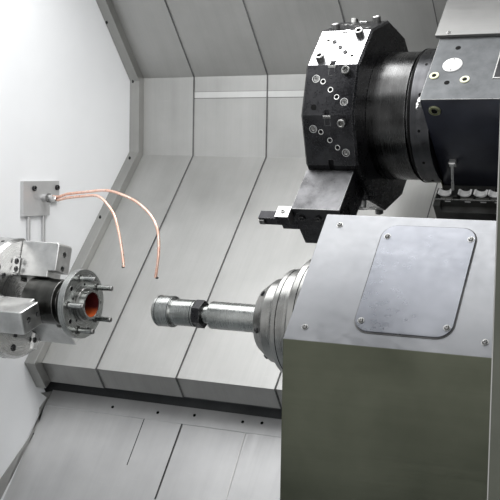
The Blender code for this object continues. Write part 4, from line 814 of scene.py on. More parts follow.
TURRET_RADIUS = 0.201
STATION_HALF_WIDTH, STATION_HALF_SIDE = 0.057, 0.052
STATION_FIRST = (-0.03, -0.036)
STATION_SECOND = (0.034, 0.037)
STATION_SUNK = ((-0.56, 0.45), (0.6, -0.49))
STATION_HOLES = ((-0.28, 0.33), (0.035, 0.0), (0.3, -0.29))
STATION_SCREW, SUNK_RADIUS, SMALL_SCREW = (0.0088, 0.013), 0.006, (0.0046, 0.0022)
SUNK_DEPTH = 0.006
RIM_INNER, RIM_OUTER, RIM_LIFT = 0.0071, 0.0082, 0.0004
KEY_WIDTH, KEY_LENGTH, KEY_DEPTH = 0.012, 0.022, 0.006
FACE_A = 3
HOLDER_OUT, HOLDER_TOP, HOLDER_START = 0.303, 0.038, 0.196
HOLDER_SCREWS_X, HOLDER_SCREW = (-0.035, 0.0, 0.035), (0.0068, 0.004)
CLAMP_SCREW_X, CLAMP_SCREW_OUT, CLAMP_SCREW = -0.074, 0.31, (0.0042, 0.003)
INSERT = (0.0125, 0.0125, 0.0035)


def station_axes(number):
    """Outward and across directions of a station; station 0 holds the tool."""
    turn = Matrix.Rotation(-tau * number / STATIONS, 3, "X")
    return turn @ -SLIDE_UP, turn @ SLIDE_OFF


def make_turret_details():
    """Screws of the empty stations; the two stations nearest the tool lack some of theirs."""
    standing, sunk, small, rims, dark, keys, beds, pale_bed = (bmesh.new() for _ in range(8))
    reach = TURRET_RADIUS * cos(pi / STATIONS)
    half_side = TURRET_RADIUS * sin(pi / STATIONS)
    for number in range(1, STATIONS):
        out, across = station_axes(number)
        centre = TURRET_CENTRE + out * reach

        def spot(x, t, lift=0.0):
            return stand(centre + X_AXIS * x + across * t + out * lift, out, X_AXIS)

        cap_screw(standing, spot(*STATION_SECOND), *STATION_SCREW)
        if number >= FACE_A:
            cap_screw(standing, spot(*STATION_FIRST), *STATION_SCREW)
        elif number == FACE_A - 1:
            # A near black disc where a screw is missing, painted shade of its hole
            disc(dark, spot(*STATION_FIRST), 0.0062, 0.0004)
        for x, t in STATION_SUNK:
            x, t = x * STATION_HALF_WIDTH, t * STATION_HALF_SIDE
            cap_screw(sunk, spot(x, t, -SUNK_DEPTH), SUNK_RADIUS, SUNK_DEPTH - 0.0006)
            if number != FACE_A:
                band(rims, spot(x, t), RIM_INNER, RIM_OUTER, -EASE, RIM_LIFT, 24)
        for x, t in STATION_HOLES:
            place = spot(x * STATION_HALF_WIDTH, t * STATION_HALF_SIDE)
            if number == FACE_A:
                cap_screw(small, place, *SMALL_SCREW, 18)
            else:
                rimmed_hole(rims, place, 0.0043, 0.0005)
        # The key bed on facet A takes its lighter copy, painted highlight
        slab(pale_bed if number == FACE_A else beds, spot(0, half_side - KEY_LENGTH / 2, -KEY_DEPTH),
             (KEY_WIDTH, KEY_LENGTH, KEY_DEPTH - 0.0001))
        slab(keys, spot(0, half_side - 0.004), (KEY_WIDTH + 0.004, 0.0052, 0.0014), 0.0005)
    piece("turret_cap_screws", standing, SCREW_STEEL, "turret")
    piece("turret_sunk_screws", sunk, SCREW_STEEL, "turret")
    piece("turret_small_screws", small, DULL_OXIDE, "turret")
    piece("turret_hole_rims", rims, MILLED, "turret")
    piece("turret_dark_hole", dark, HOLE_SHADE_AND_SEAM, "turret")
    piece("turret_key_beds", beds, OXIDE, "turret")
    piece("turret_pale_bed", pale_bed, FACE_A_LIT_STEEL, "turret")
    piece("turret_keys", keys, SCREW_STEEL, "turret")


def make_tool_details():
    """The holder's bright top, its screws, the clamp's screw and the cutting insert."""
    out, across = station_axes(0)
    low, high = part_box("tool_holder")
    middle = (low.x + high.x) / 2 - TURRET_CENTRE.x

    def spot(x, r, t, outward):
        return stand(TURRET_CENTRE + X_AXIS * x + out * r + across * t, outward, X_AXIS)

    bm = bmesh.new()
    slab(bm, spot(middle, (0.1945 + HOLDER_OUT) / 2, HOLDER_TOP, across),
         (high.x - low.x - 0.001, HOLDER_OUT - HOLDER_START, 0.0008), 0.0006)
    piece("tool_holder_top", bm, HOLDER_TOP_STEEL, "turret")
    bm = bmesh.new()
    cap_screw(bm, spot(CLAMP_SCREW_X, CLAMP_SCREW_OUT, HOLDER_TOP, across), *CLAMP_SCREW)
    piece("tool_clamp_screw", bm, SCREW_STEEL, "turret")
    bm = bmesh.new()
    for x in HOLDER_SCREWS_X:
        cap_screw(bm, spot(middle + x, HOLDER_OUT, 0.012, out), *HOLDER_SCREW)
    piece("tool_holder_screws", bm, OXIDE, "turret")
    bm = bmesh.new()
    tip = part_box("tool_bar")[0].x - TURRET_CENTRE.x + 0.007
    slab(bm, spot(tip, HOLDER_OUT + 0.0002, -0.003, out), INSERT, 0.0006)
    piece("cutting_insert", bm, SCREW_STEEL, "turret")


# Housing and cable chain

HOUSING_TOP_D, HOUSING_SKIN = 0.1396, 0.0008
HOUSING_SKIN_MIDDLE, HOUSING_SKIN_SIZE = (0.5805, 0.5305), (0.3233, 0.1765)
HOUSING_FRONT = 0.442
HOUSING_HOLES = ((0.4631, 0.5887), (0.4629, 0.4886))
HOUSING_WASHERS = ((0.4333, 0.5086), (0.4966, 0.4961))
HOUSING_CAP = (0.4631, 0.5383)
HOUSING_SCREWS_X, HOUSING_SCREWS_S = (0.4366, 0.7), 0.6275
CAP_DOTS = (-0.0155, 0.0155)
OLIVE_PIXEL = (434.7, 110.5)
PIN_TOP_PIXEL, PIN_FOOT_PIXEL = (452.0, 163.5), (452.8, 190.0)
PIN_TOP_S, PIN_FOOT_S = HOUSING_FRONT - 0.01, 0.406
PLATE_LEFT, PLATE_RIGHT, PLATE_LOW, PLATE_HIGH = 0.549, 0.65, 0.497, 0.582
PLATE_THICK, RIM_IN, RIM_WIDTH = 0.001, 0.002, 0.0016
SLIDE_COVER_D = 0.1476
CRESCENT_PIXELS, CRESCENT_ROW = (443.3, 463.3, 479.1, 493.5), 187.0
STRAP_OUTER, STRAP_INNER, STRAP_STEPS = 0.0145, 0.0105, 9
CHAIN_FRONT, CHAIN_TOP = 0.4117, -0.1
LINK_BLOCK, LINK_CAP = (0.025, 0.015, 0.0026), (0.012, 0.005, 0.001)
TRAY_TOP_D, TRAY_FRONT, TRAY_LEFT = -0.128, 0.392, 0.4187
TRIM_D = -0.1078
HUB_PINS, HUB_PIN_REACH = 12, 0.139


def slide_point(x, s, d):
    """A point in the cross slide's axes: s up the slant, d off it."""
    return AXIS + X_AXIS * x + SLIDE_UP * s + SLIDE_OFF * d


def make_housing_details():
    """Plugs, caps, screws and the bare plate on the housing's top, and what stands on its front."""
    body = "cross_slide"

    def on_top(x, s, lift=0.0):
        return stand(slide_point(x, s, HOUSING_TOP_D + HOUSING_SKIN + lift), SLIDE_OFF, X_AXIS)

    def on_front(lift=0.0):
        place = seen_on(OLIVE_PIXEL, slide_point(0, HOUSING_FRONT, 0), -SLIDE_UP)
        return stand(place - SLIDE_UP * lift, -SLIDE_UP, X_AXIS)

    # Near black discs in the holes, on the cap and round the front plug, painted shade
    bm = bmesh.new()
    for place in HOUSING_HOLES:
        disc(bm, on_top(*place), 0.0055, 0.0003)
    for place in HOUSING_WASHERS:
        disc(bm, on_top(*place), 0.0048, 0.0006)
    for ds in CAP_DOTS:
        disc(bm, on_top(HOUSING_CAP[0], HOUSING_CAP[1] + ds, 0.002), 0.0016, 0.0003)
    disc(bm, on_front(0.001), 0.0068, 0.0003)
    piece("housing_holes", bm, HOLE_SHADE_AND_SEAM, body)
    bm = bmesh.new()
    for place in HOUSING_WASHERS:
        turned_shape(bm, on_top(*place), [
            (0.0048, -EASE), (0.0095, -EASE), (0.0095, 0.0012), (0.0085, 0.002), (0.0058, 0.002),
            (0.0048, 0.0012), (0.0048, -EASE)], 26)
    piece("housing_plugs", bm, PALE_PLUG, body)
    bm = bmesh.new()
    turned_shape(bm, on_front(), [
        (0, -EASE), (0.0125, -EASE), (0.0125, 0.0016), (0.0108, 0.003), (0.007, 0.003, True),
        (0.007, 0.001, True), (0, 0.001)], 30)
    piece("housing_front_plug", bm, OLIVE_BRASS, body)
    bm = bmesh.new()
    turned_shape(bm, on_top(*HOUSING_CAP), [
        (0, -EASE), (0.0195, -EASE), (0.0195, 0.0012), (0.0183, 0.002), (0, 0.002)], 40)
    piece("housing_cap", bm, WHITE_CAP_AND_HIGHLIGHT, body)
    bm = bmesh.new()
    for x in HOUSING_SCREWS_X:
        place = slide_point(x, HOUSING_SCREWS_S, SLIDE_COVER_D)
        button_screw(bm, stand(place, SLIDE_OFF, X_AXIS), 0.004, 0.0028)
    piece("housing_screws", bm, SCREW_STEEL, body)
    bm = bmesh.new()
    width, height = PLATE_RIGHT - PLATE_LEFT, PLATE_HIGH - PLATE_LOW
    middle_x, middle_s = PLATE_LEFT + width / 2, PLATE_LOW + height / 2
    slab(bm, on_top(middle_x, middle_s), (width, height, PLATE_THICK), 0.0004)
    piece("bare_plate", bm, DARK_PLATE, body)
    bm = bmesh.new()
    for s in (PLATE_LOW + RIM_IN, PLATE_HIGH - RIM_IN):
        slab(bm, on_top(middle_x, s, PLATE_THICK), (width - 0.003, RIM_WIDTH, 0.0004))
    for x in (PLATE_LEFT + RIM_IN, PLATE_RIGHT - RIM_IN):
        slab(bm, on_top(x, middle_s, PLATE_THICK), (RIM_WIDTH, height - 0.003, 0.0004))
    piece("bare_plate_rim", bm, SCREW_STEEL, body)
    bm = bmesh.new()
    # A thin skin of the lighter top finish, painted light
    slab(bm, on_top(*HOUSING_SKIN_MIDDLE, -HOUSING_SKIN), (*HOUSING_SKIN_SIZE, HOUSING_SKIN), 0.0006)
    piece("housing_top_skin", bm, HOUSING_TOP_LIT_STEEL, body)
    bm = bmesh.new()
    top = seen_on(PIN_TOP_PIXEL, slide_point(0, PIN_TOP_S, 0), -SLIDE_UP)
    foot = seen_on(PIN_FOOT_PIXEL, slide_point(0, PIN_FOOT_S, 0), -SLIDE_UP)
    length = (foot - top).length
    turned_shape(bm, stand(top, foot - top, X_AXIS), [
        (0, 0), (0.0048, 0), (0.0048, 0.004), (0.003, 0.005), (0.003, length), (0, length)], 16)
    slab(bm, stand(top + SLIDE_UP * 0.01 - SLIDE_OFF * 0.004, -SLIDE_UP, X_AXIS),
         (0.014, 0.012, 0.0115), 0.0012)
    piece("grease_pin", bm, MILLED, body)
    bm = bmesh.new()
    slab(bm, stand(slide_point(0.4165, HOUSING_FRONT + 0.012, -0.1), -X_AXIS, SLIDE_OFF),
         (0.052, 0.026, 0.0022), 0.0008)
    piece("chain_bracket", bm, OLIVE_BRASS, body)
    bm = bmesh.new()
    slab(bm, stand(slide_point(TRAY_LEFT, HOUSING_FRONT + 0.006, 0.127), -X_AXIS, SLIDE_OFF),
         (0.016, 0.01, 0.006), 0.0012)
    turned_shape(bm, stand(slide_point(0.4135, HOUSING_FRONT + 0.002, 0.127), -SLIDE_UP, X_AXIS), [
        (0.0022, 0), (0.0042, 0, True), (0.0042, 0.006, True), (0.0022, 0.008), (0.0022, 0.013),
        (0, 0.013)], 18)
    piece("housing_nipple", bm, MILLED, body)


def make_chain_details():
    """Cross straps, painted white as a highlight of bright metal, and sockets of the cable chain's
    links, and the tray's lip and side.
    """
    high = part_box("cable_chain")[1].x
    straps, blocks, caps = (bmesh.new() for _ in range(3))
    line = [seen_on((px, CRESCENT_ROW), slide_point(0, CHAIN_FRONT, 0), -SLIDE_UP).x
            for px in CRESCENT_PIXELS]
    pitch = line[-1] - line[-2]
    while line[-1] + pitch * 1.6 < high:
        line.append(line[-1] + pitch)

    def on_chain(x, s, d):
        return stand(slide_point(x, s, d), -SLIDE_UP, X_AXIS)

    arc = [pi * (0.08 + 0.84 * i / (STRAP_STEPS - 1)) for i in range(STRAP_STEPS)]
    crescent = [(STRAP_OUTER, a) for a in arc] + [(STRAP_INNER, a) for a in reversed(arc)]
    for x in line:
        plate(straps, *([slide_point(x - r * cos(a), CHAIN_FRONT - 0.0035 + out,
                                     CHAIN_TOP + 0.0155 - r * 0.85 * sin(a)) for r, a in crescent]
                        for out in (-0.001, 0.012)))
        slab(blocks, on_chain(x + 0.001, CHAIN_FRONT, CHAIN_TOP - 0.011), LINK_BLOCK, 0.0012)
        slab(caps, on_chain(x + 0.002, CHAIN_FRONT - 0.0026, CHAIN_TOP - 0.012), LINK_CAP, 0.0004)
    # The straps' white is a painted highlight
    piece("chain_straps", straps, WHITE_CAP_AND_HIGHLIGHT, "cross_slide")
    piece("chain_blocks", blocks, LINK_PLASTIC, "cross_slide")
    piece("chain_caps", caps, WHITE_CAP_AND_HIGHLIGHT, "cross_slide")
    lips, sheet = bmesh.new(), bmesh.new()
    left = TRAY_LEFT - 0.015
    middle, width = (left + high) / 2, high - left - 0.002
    slab(lips, on_chain(middle, CHAIN_FRONT - 0.003, TRIM_D), (width, 0.0046, 0.0014), 0.0004)
    slab(sheet, on_chain(middle, CHAIN_FRONT - 0.0012, (TRIM_D + TRAY_TOP_D) / 2),
         (width, TRIM_D - TRAY_TOP_D + 0.004, 0.0018))
    side = slide_point(TRAY_LEFT, (TRAY_FRONT + HOUSING_FRONT) / 2, -0.1475)
    slab(sheet, stand(side, -X_AXIS, SLIDE_OFF), (0.076, HOUSING_FRONT - TRAY_FRONT - 0.002, 0.014),
         0.0012)
    piece("tray_lip", lips, SCREW_STEEL, "cross_slide")
    piece("tray_sheet", sheet, CHAIN_PLASTIC, "cross_slide")


def make_hub_details():
    """Pin holes round the flange and a groove beside it, as near black discs and a ring of painted
    shade.
    """
    left, right = (corner.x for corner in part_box("hub_flange"))
    bm = bmesh.new()
    for k in range(HUB_PINS):
        out = round_x(tau * (k + 0.5) / HUB_PINS)
        place = TURRET_CENTRE + out * HUB_PIN_REACH
        place = place + X_AXIS * ((left + right) / 2 + 0.004 - TURRET_CENTRE.x)
        disc(bm, stand(place, out, X_AXIS), 0.003, 0.0004, 14)
    piece("flange_pin_holes", bm, HOLE_SHADE_AND_SEAM, "cross_slide")
    bm = bmesh.new()
    centre = Vector((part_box("turret_hub")[1].x + 0.003, TURRET_CENTRE.y, TURRET_CENTRE.z))
    band(bm, stand(centre, X_AXIS), 0.1385, 0.1394, 0, 0.0042, 96)
    piece("flange_groove", bm, HOLE_SHADE_AND_SEAM, "cross_slide")


# Chuck and workpiece

CHUCK_SCREW_PIXELS = ((15.8, 268.9), (16.5, 261.2), (34.5, 340.0))
CHUCK_PLATE_PIXELS = ((15.6, 265.0), (34.5, 341.0))
CHUCK_PLATE, CHUCK_PLATE_EDGE = (0.017, 0.034, 0.0044), 0.0014
FACE_SCREWS = ((0.104, 0.0075), (0.078, 0.005))
RIM_HOLES, RIM_HOLE_STEPS, RIM_HOLE_REACH = range(2, 7), 24, 0.127
JAW_SIDE = Vector((0, cos(JAW_ANGLES[0]), -sin(JAW_ANGLES[0])))
FLANGE_FACE, STUDS, STUD_REACH, STUD_LENGTH = -0.215, 5, 0.055, 0.0355
FLANGE_HOLE_REACH, SMALL_HOLE_REACH, SMALL_HOLE_TURN = 0.056, 0.04, 0.32
BORE_MOUTH, BORE_DEPTH, SLEEVE_START = -0.1955, 0.0735, -0.3395


def make_chuck_details():
    """The jaws' sunk screws, screws and small plates on the chuck's face, and dark discs of painted
    shade for the holes round its rim.
    """
    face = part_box("chuck_body")[1].x
    bm, dark = bmesh.new(), bmesh.new()
    for number, angle in enumerate(JAW_ANGLES, 1):
        out = round_x(angle)
        jaw = bmesh.new()
        end = max(v.co.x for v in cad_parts[f"jaw_{number}"].data.vertices)
        for r in JAW_BOLTS_R:
            place = AXIS + out * r + X_AXIS * (end - JAW_BOLT_DEPTH)
            cap_screw(jaw, stand(place, X_AXIS), 0.0058, 0.005)
        piece(f"jaw_screws_{number}", jaw, OXIDE, f"jaw_{number}")
        between = round_x(angle + pi / 3)
        for r, size in FACE_SCREWS:
            cap_screw(dark, stand(AXIS + between * r + X_AXIS * face, X_AXIS), size, 0.0022)
    for pixel in CHUCK_SCREW_PIXELS:
        cap_screw(dark, facing_x(pixel, face + 0.004), 0.0062, 0.0024)
    for pixel in CHUCK_PLATE_PIXELS:
        slab(bm, facing_x(pixel, face, JAW_SIDE), CHUCK_PLATE, CHUCK_PLATE_EDGE)
    # The holes round the rim are dark discs, painted shade
    for angle in JAW_ANGLES:
        for k in RIM_HOLES:
            out = round_x(angle + tau * k / RIM_HOLE_STEPS)
            place = AXIS + out * RIM_HOLE_REACH + X_AXIS * (face - 0.02)
            disc(dark, stand(place, out), 0.0042, 0.0004)
    piece("chuck_plates", bm, MILLED, "spindle")
    piece("chuck_screws_and_hole_shade", dark, OXIDE, "spindle")


def make_work_details():
    """The workpiece's studs, holes and collar, and the skins of its bore and sleeve."""
    bm, dark = bmesh.new(), bmesh.new()

    def on_face(angle, reach, ahead=0.0):
        return stand(AXIS + round_x(angle) * reach + X_AXIS * FLANGE_FACE + X_AXIS * ahead, X_AXIS)

    for k in range(STUDS):
        angle = radians(-15.0) + tau * k / STUDS
        turned_shape(bm, on_face(angle, STUD_REACH), [
            (0.0056, 0), (0.0088, 0), (0.0088, 0.002), (0.0056, 0.003)])
        turned_shape(bm, on_face(angle, STUD_REACH, STUD_LENGTH), [
            (0.0056, -0.002), (0.0058, 0), (0.0046, 0.0022), (0, 0.0022)], 16)
        # The holes are near black discs, painted shade
        hole = on_face(angle + pi / STUDS, FLANGE_HOLE_REACH)
        disc(dark, hole, 0.0046, 0.0003)
        rimmed_hole(bm, hole, 0.0046, 0.0009)
        disc(dark, on_face(angle + SMALL_HOLE_TURN, SMALL_HOLE_REACH), 0.0026, 0.0003)
    turned_shape(bm, on_axis(FLANGE_FACE), [
        (0.03, 0.0), (0.0345, 0.0), (0.0345, 0.006), (0.033, 0.0075), (0.03, 0.0075)], 40)
    piece("work_studs", bm, SCREW_STEEL, "spindle")
    piece("work_holes", dark, HOLE_SHADE_AND_SEAM, "spindle")
    bm = bmesh.new()
    turned_shape(bm, on_axis(BORE_MOUTH - BORE_DEPTH), [
        (0, 0.0), (0.0245, 0.0), (0.0252, 0.004), (0.0252, BORE_DEPTH - 0.001),
        (0.0248, BORE_DEPTH - 0.001), (0.0246, 0.006), (0, 0.003)], 40)
    piece("bore_skin", bm, STAIN_AND_SHADE, "spindle")
    bm = bmesh.new()
    turned_shape(bm, on_axis(SLEEVE_START), [
        (0.0461, 0), (0.047, 0.001), (0.047, 0.077), (0.0461, 0.078)], 40)
    piece("work_sleeve", bm, TURNED_GREY, "spindle")


# Tailstock

TAIL_TOP_SCREWS = ((0.3617, 0.2437), (0.3619, 0.0263), (0.664, 0.0268))
TAIL_PLATE_SCREWS = ((0.4567, 0.2207), (0.602, 0.2222), (0.4565, 0.0459), (0.6003, 0.0452))
TAIL_PLATE_SIDES, TAIL_PLATE_CORNER, TAIL_PLATE_LIFT = (0.4455, 0.6095, 0.0265, 0.2455), 0.026, 0.0033
GASKET_GAP, GASKET_WIDTH, GASKET_LIFT = 0.0001, 0.0022, 0.0009
TAIL_FOOT, TAIL_CREST = (-0.2075, 0.0025), (-0.0318, 0.2029)
NOSE_SCREWS, NOSE_SCREW_REACH, NOSE_SCREW_X = 6, 0.0685, 0.213
NOSE_SEAMS = ((0.249, 0.0787), (0.29, 0.0982), (0.262, 0.0982), (0.3055, 0.1212))
CENTRE_GROOVES = ((-0.03, 0.0305), (-0.002, 0.0305), (0.046, 0.026))


def tail_top(x, w, lift=0.0):
    """A point on the slanted top of the tailstock cover, w up from its front edge."""
    foot, crest = (Vector((0, y, AXIS_HEIGHT + z)) for y, z in (TAIL_FOOT, TAIL_CREST))
    up = (crest - foot).normalized()
    normal = Vector((0, -up.z, up.y))
    return foot + X_AXIS * x + up * w + normal * lift, normal


def make_tail_details():
    """Screws of the tailstock's cover and plate, the plate's gasket, the nose's screws and seams."""
    bm = bmesh.new()
    for table, lift in ((TAIL_TOP_SCREWS, 0.0), (TAIL_PLATE_SCREWS, TAIL_PLATE_LIFT)):
        for x, w in table:
            button_screw(bm, stand(*tail_top(x, w, lift), X_AXIS), 0.0046, 0.0036)
    piece("tail_cover_screws", bm, SCREW_STEEL, "tailstock")
    bm = bmesh.new()
    rounded_frame(bm, TAIL_PLATE_SIDES, TAIL_PLATE_CORNER, (
        (GASKET_GAP, -EASE), (GASKET_GAP, GASKET_LIFT), (GASKET_WIDTH, GASKET_LIFT),
        (GASKET_WIDTH, -EASE)), lambda x, w, lift: tail_top(x, w, lift)[0])
    piece("tail_plate_gasket", bm, WIPER_RUBBER, "tailstock")
    bm, seams = bmesh.new(), bmesh.new()
    for k in range(NOSE_SCREWS):
        out = round_x(tau * (k + 0.35) / NOSE_SCREWS)
        place = AXIS + out * NOSE_SCREW_REACH + X_AXIS * NOSE_SCREW_X
        cap_screw(bm, stand(place, out - X_AXIS * 0.9), 0.0052, 0.004)
    piece("nose_screws", bm, OXIDE, "tailstock")
    for x, r in NOSE_SEAMS:
        band(seams, on_axis(x), r - 0.0006, r + 0.0002, -0.0006, 0.0006, 56)
    piece("nose_seams", seams, HOLE_SHADE_AND_SEAM, "tailstock")


def make_centre_details():
    """Grooves round the live centre, darkened as painted shade, and its centre hole."""
    bm = bmesh.new()
    for x, r in CENTRE_GROOVES:
        band(bm, on_axis(x), r - 0.0005, r + 0.0002, -0.0005, 0.0005, 40)
    piece("centre_grooves", bm, HOLE_SHADE_AND_SEAM, "live_centre")
    bm = bmesh.new()
    turned_shape(bm, on_axis(-0.0385), [(0.0118, 0), (0.0118, 0.009), (0, 0.006)], 30)
    piece("centre_bore", bm, TURNED_GREY, "live_centre")


# Outside of the enclosure

SEAL_CORNER, SEAL_WIDTH, HANDLE_END = 0.06, 0.016, 0.011
PANEL_SCREW, FLUSH_SCREW, SCREW_MARGIN = (0.006, 0.004), (0.006, 0.0004), 0.05
FRONT_SCREW_IN, SIDE_SCREW_IN, SIDE_SCREWS = 0.045, 0.06, 5
JAMB_SHADE_IN, JAMB_SHADE_WIDTH, JAMB_EDGE_IN, JAMB_EDGE_WIDTH = 0.0025, 0.052, 0.0015, 0.0014
KEY_ROWS, KEY_COLUMNS, KEY_MARGIN, KEY_ROW_PITCH, KEY_DROP = 4, 9, 0.045, 0.028, 0.035
CONSOLE_KEY = (0.022, 0.018, 0.003)
KNOBS, KNOB_RAISE = ((0.18, 0.02), (0.8, 0.024)), 0.03
FOOT_IN, FOOT_HEIGHT, FOOT_PAD = 0.1, 0.055, (0.12, 0.1, 0.006)


def make_outside():
    """The window's seal, the handle's roses, the panels' screws, a dark strip of painted shade beside
    the opening and a light strip along its edge.
    """
    door_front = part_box("door_frame")[0].y
    glass_low, glass_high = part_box("door_window")
    bm = bmesh.new()
    rounded_frame(bm, (glass_low.x, glass_high.x, glass_low.z, glass_high.z), SEAL_CORNER, (
        (0.0, -0.002), (0.0, 0.004), (SEAL_WIDTH * 0.5, 0.006), (SEAL_WIDTH, 0.003),
        (SEAL_WIDTH, -0.0002)), lambda x, z, lift: (x, door_front - lift, z))
    piece("window_seal", bm, WIPER_RUBBER, "door")
    low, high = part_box("door_handle")
    bm = bmesh.new()
    for z in (low.z + HANDLE_END, high.z - HANDLE_END):
        turned_shape(bm, stand(Vector(((low.x + high.x) / 2, door_front, z)), -Y_AXIS), [
            (0.0115, 0), (0.02, 0), (0.02, 0.004), (0.017, 0.006), (0.0115, 0.006)], 32)
    piece("handle_roses", bm, MILLED, "door")
    bm = bmesh.new()
    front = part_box("front_apron")[0].y
    for name, rows in (("front_apron", 2), ("front_right_panel", 5)):
        low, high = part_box(name)
        for x in (low.x + FRONT_SCREW_IN, high.x - FRONT_SCREW_IN):
            for k in range(rows):
                z = low.z + SCREW_MARGIN + (high.z - low.z - 2 * SCREW_MARGIN) * k / (rows - 1)
                button_screw(bm, stand(Vector((x, front, z)), -Y_AXIS), *PANEL_SCREW)
    for name, normal in (("left_side_panel", -X_AXIS), ("right_side_panel", X_AXIS),
                         ("rear_panel", Y_AXIS)):
        low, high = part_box(name)
        along = 1 if normal.x else 0
        point = Vector(high if sum(normal) > 0 else low)
        length = high[along] - low[along] - 2 * SIDE_SCREW_IN
        for i in range(SIDE_SCREWS):
            for point.z in (low.z + SCREW_MARGIN, high.z - SCREW_MARGIN):
                point[along] = low[along] + SIDE_SCREW_IN + length * i / (SIDE_SCREWS - 1)
                button_screw(bm, stand(point, normal), *FLUSH_SCREW)
    piece("panel_screws", bm, SCREW_STEEL, "root")
    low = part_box("front_right_panel")[0]
    foot, top = low.z + EASE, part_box("header_panel")[0].z
    # The wide dark strip beside the opening is painted shade
    for name, material, x, width, lift in (
            ("opening_shade_strip", JAMB_SHADE_STEEL, JAMB_SHADE_IN + JAMB_SHADE_WIDTH / 2, JAMB_SHADE_WIDTH, 0.0016),
            ("opening_edge", TRIM_STEEL, JAMB_EDGE_IN, JAMB_EDGE_WIDTH, 0.0018)):
        bm = bmesh.new()
        slab(bm, facing_front(low.x + x, low.y, (foot + top) / 2), (width, top - foot, lift))
        piece(name, bm, material, "root")


def make_console_details():
    """Plain keys, two knobs and the stop button's collar, all without lettering."""
    low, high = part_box("control_panel")
    stop_low, stop_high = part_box("stop_button")
    stop_x, stop_z = (stop_low.x + stop_high.x) / 2, (stop_low.z + stop_high.z) / 2
    face, width = low.y, high.x - low.x
    bm = bmesh.new()
    for row in range(KEY_ROWS):
        for column in range(KEY_COLUMNS):
            x = low.x + KEY_MARGIN + (width - 2 * KEY_MARGIN) * column / (KEY_COLUMNS - 1)
            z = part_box("control_screen")[0].z - KEY_DROP - row * KEY_ROW_PITCH
            slab(bm, facing_front(x, face, z), CONSOLE_KEY, 0.001)
    piece("console_keys", bm, WHITE_CAP_AND_HIGHLIGHT, "root")
    bm = bmesh.new()
    for share, radius in KNOBS:
        place = facing_front(low.x + width * share, face, stop_z + KNOB_RAISE)
        turned_shape(bm, place, [
            (0, -EASE), (radius, -EASE), (radius, 0.01), (radius * 0.86, 0.014),
            (radius * 0.3, 0.015), (0, 0.015)], 28)
        slab(bm, place @ Matrix.Translation((0, 0, 0.013)), (0.005, radius * 1.7, 0.004), 0.001)
    piece("console_knobs", bm, CHAIN_PLASTIC, "root")
    bm = bmesh.new()
    inner = (stop_high.x - stop_low.x) / 2 + 0.001
    outer = inner + 0.007
    turned_shape(bm, stand(Vector((stop_x, face, stop_z)), -Y_AXIS), [
        (inner, -EASE), (outer, -EASE), (outer, 0.0022), (outer - 0.0015, 0.003), (inner, 0.003),
        (inner, -EASE)], 40)
    piece("stop_collar", bm, OLIVE_BRASS, "root")


def make_feet():
    """Pads on the front and the back of the base."""
    bm = bmesh.new()
    low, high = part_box("base_frame")
    for x in (low.x + FOOT_IN, 0.0, high.x - FOOT_IN):
        for y, out in ((low.y, -Y_AXIS), (high.y, Y_AXIS)):
            slab(bm, stand(Vector((x, y, FOOT_HEIGHT)), out, X_AXIS), FOOT_PAD, 0.002)
    piece("foot_pads", bm, CAST_PAINT, "root")


# Stage and light

FLOOR_HALF, FLOOR_DROP = 9, 0.0005
WORLD_ON_OBJECT, WORLD_AS_SEEN = 0.55, 0.9
LIGHTS = (
    ("key", (1.6, -3.6, 2.3), (-0.2, 0, 0.9), (2.2, 2.2), 60),
    ("roof_lamp", (0.05, 0.0, 1.918), (0.05, 0.0, 0.0), (1.2, 0.7), 10.5),
    ("turret_lamp", (0.1, 0.28, 1.915), (0.1, 0.28, 0.0), (0.26, 0.2), 2.4),
)


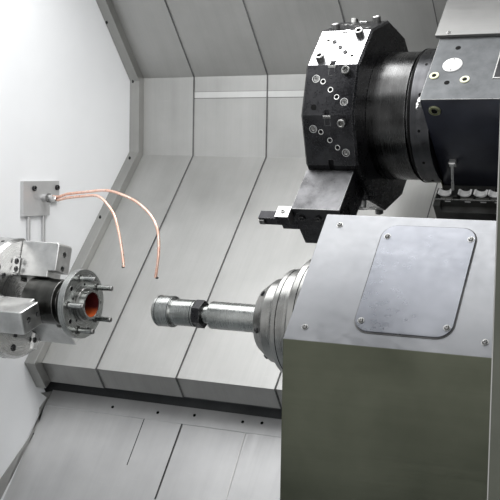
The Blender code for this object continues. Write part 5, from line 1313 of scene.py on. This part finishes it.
def make_stage():
    floor_look = Look("floor_look", 0.0, 0.7)
    grain = floor_look.noise((30, 30, 30), 3.0)
    floor_look.to("Base Color", floor_look.mixed(grain, (0.78, 0.78, 0.78), (0.82, 0.82, 0.82)))
    bm = bmesh.new()
    bmesh.ops.create_grid(bm, x_segments=1, y_segments=1, size=FLOOR_HALF)
    mesh = bpy.data.meshes.new("floor")
    bm.to_mesh(mesh)
    bm.free()
    mesh.materials.append(floor_look.material)
    floor = bpy.data.objects.new("floor", mesh)
    bpy.context.scene.collection.objects.link(floor)
    floor.location.z = -FLOOR_DROP


def make_light():
    """A white world, dimmer on the object than where it is seen or mirrored, and three lamps."""
    world = bpy.data.worlds.new("studio")
    world.use_nodes = True
    bpy.context.scene.world = world
    nodes, links = world.node_tree.nodes, world.node_tree.links
    background = nodes["Background"]
    background.inputs["Color"].default_value = (1, 1, 1, 1)
    path = nodes.new("ShaderNodeLightPath")
    seen, mirrored = (nodes.new("ShaderNodeMath") for _ in range(2))
    seen.operation = mirrored.operation = "MAXIMUM"
    links.new(path.outputs["Is Camera Ray"], seen.inputs[0])
    links.new(path.outputs["Is Glossy Ray"], mirrored.inputs[0])
    links.new(path.outputs["Is Transmission Ray"], mirrored.inputs[1])
    links.new(mirrored.outputs[0], seen.inputs[1])
    strength = nodes.new("ShaderNodeMapRange")
    strength.inputs["To Min"].default_value = WORLD_ON_OBJECT
    strength.inputs["To Max"].default_value = WORLD_AS_SEEN
    links.new(seen.outputs[0], strength.inputs["Value"])
    links.new(strength.outputs[0], background.inputs["Strength"])
    for name, place, target, size, power in LIGHTS:
        data = bpy.data.lights.new(name, "AREA")
        data.shape = "RECTANGLE"
        data.size, data.size_y = size
        data.energy = power
        light = bpy.data.objects.new(name, data)
        light.location = place
        light.rotation_euler = (Vector(target) - Vector(place)).to_track_quat("-Z", "Y").to_euler()
        light.visible_camera = False
        bpy.context.scene.collection.objects.link(light)


dress_frame()
make_wipers()
make_cover_beads()
make_wall_trim()
make_guard_panels()
make_coolant()
make_turret_details()
make_tool_details()
make_housing_details()
make_chain_details()
make_hub_details()
make_chuck_details()
make_work_details()
make_tail_details()
make_centre_details()
make_outside()
make_console_details()
make_feet()
make_stage()
make_light()
make_camera()
bpy.context.scene.view_settings.view_transform = "Standard"
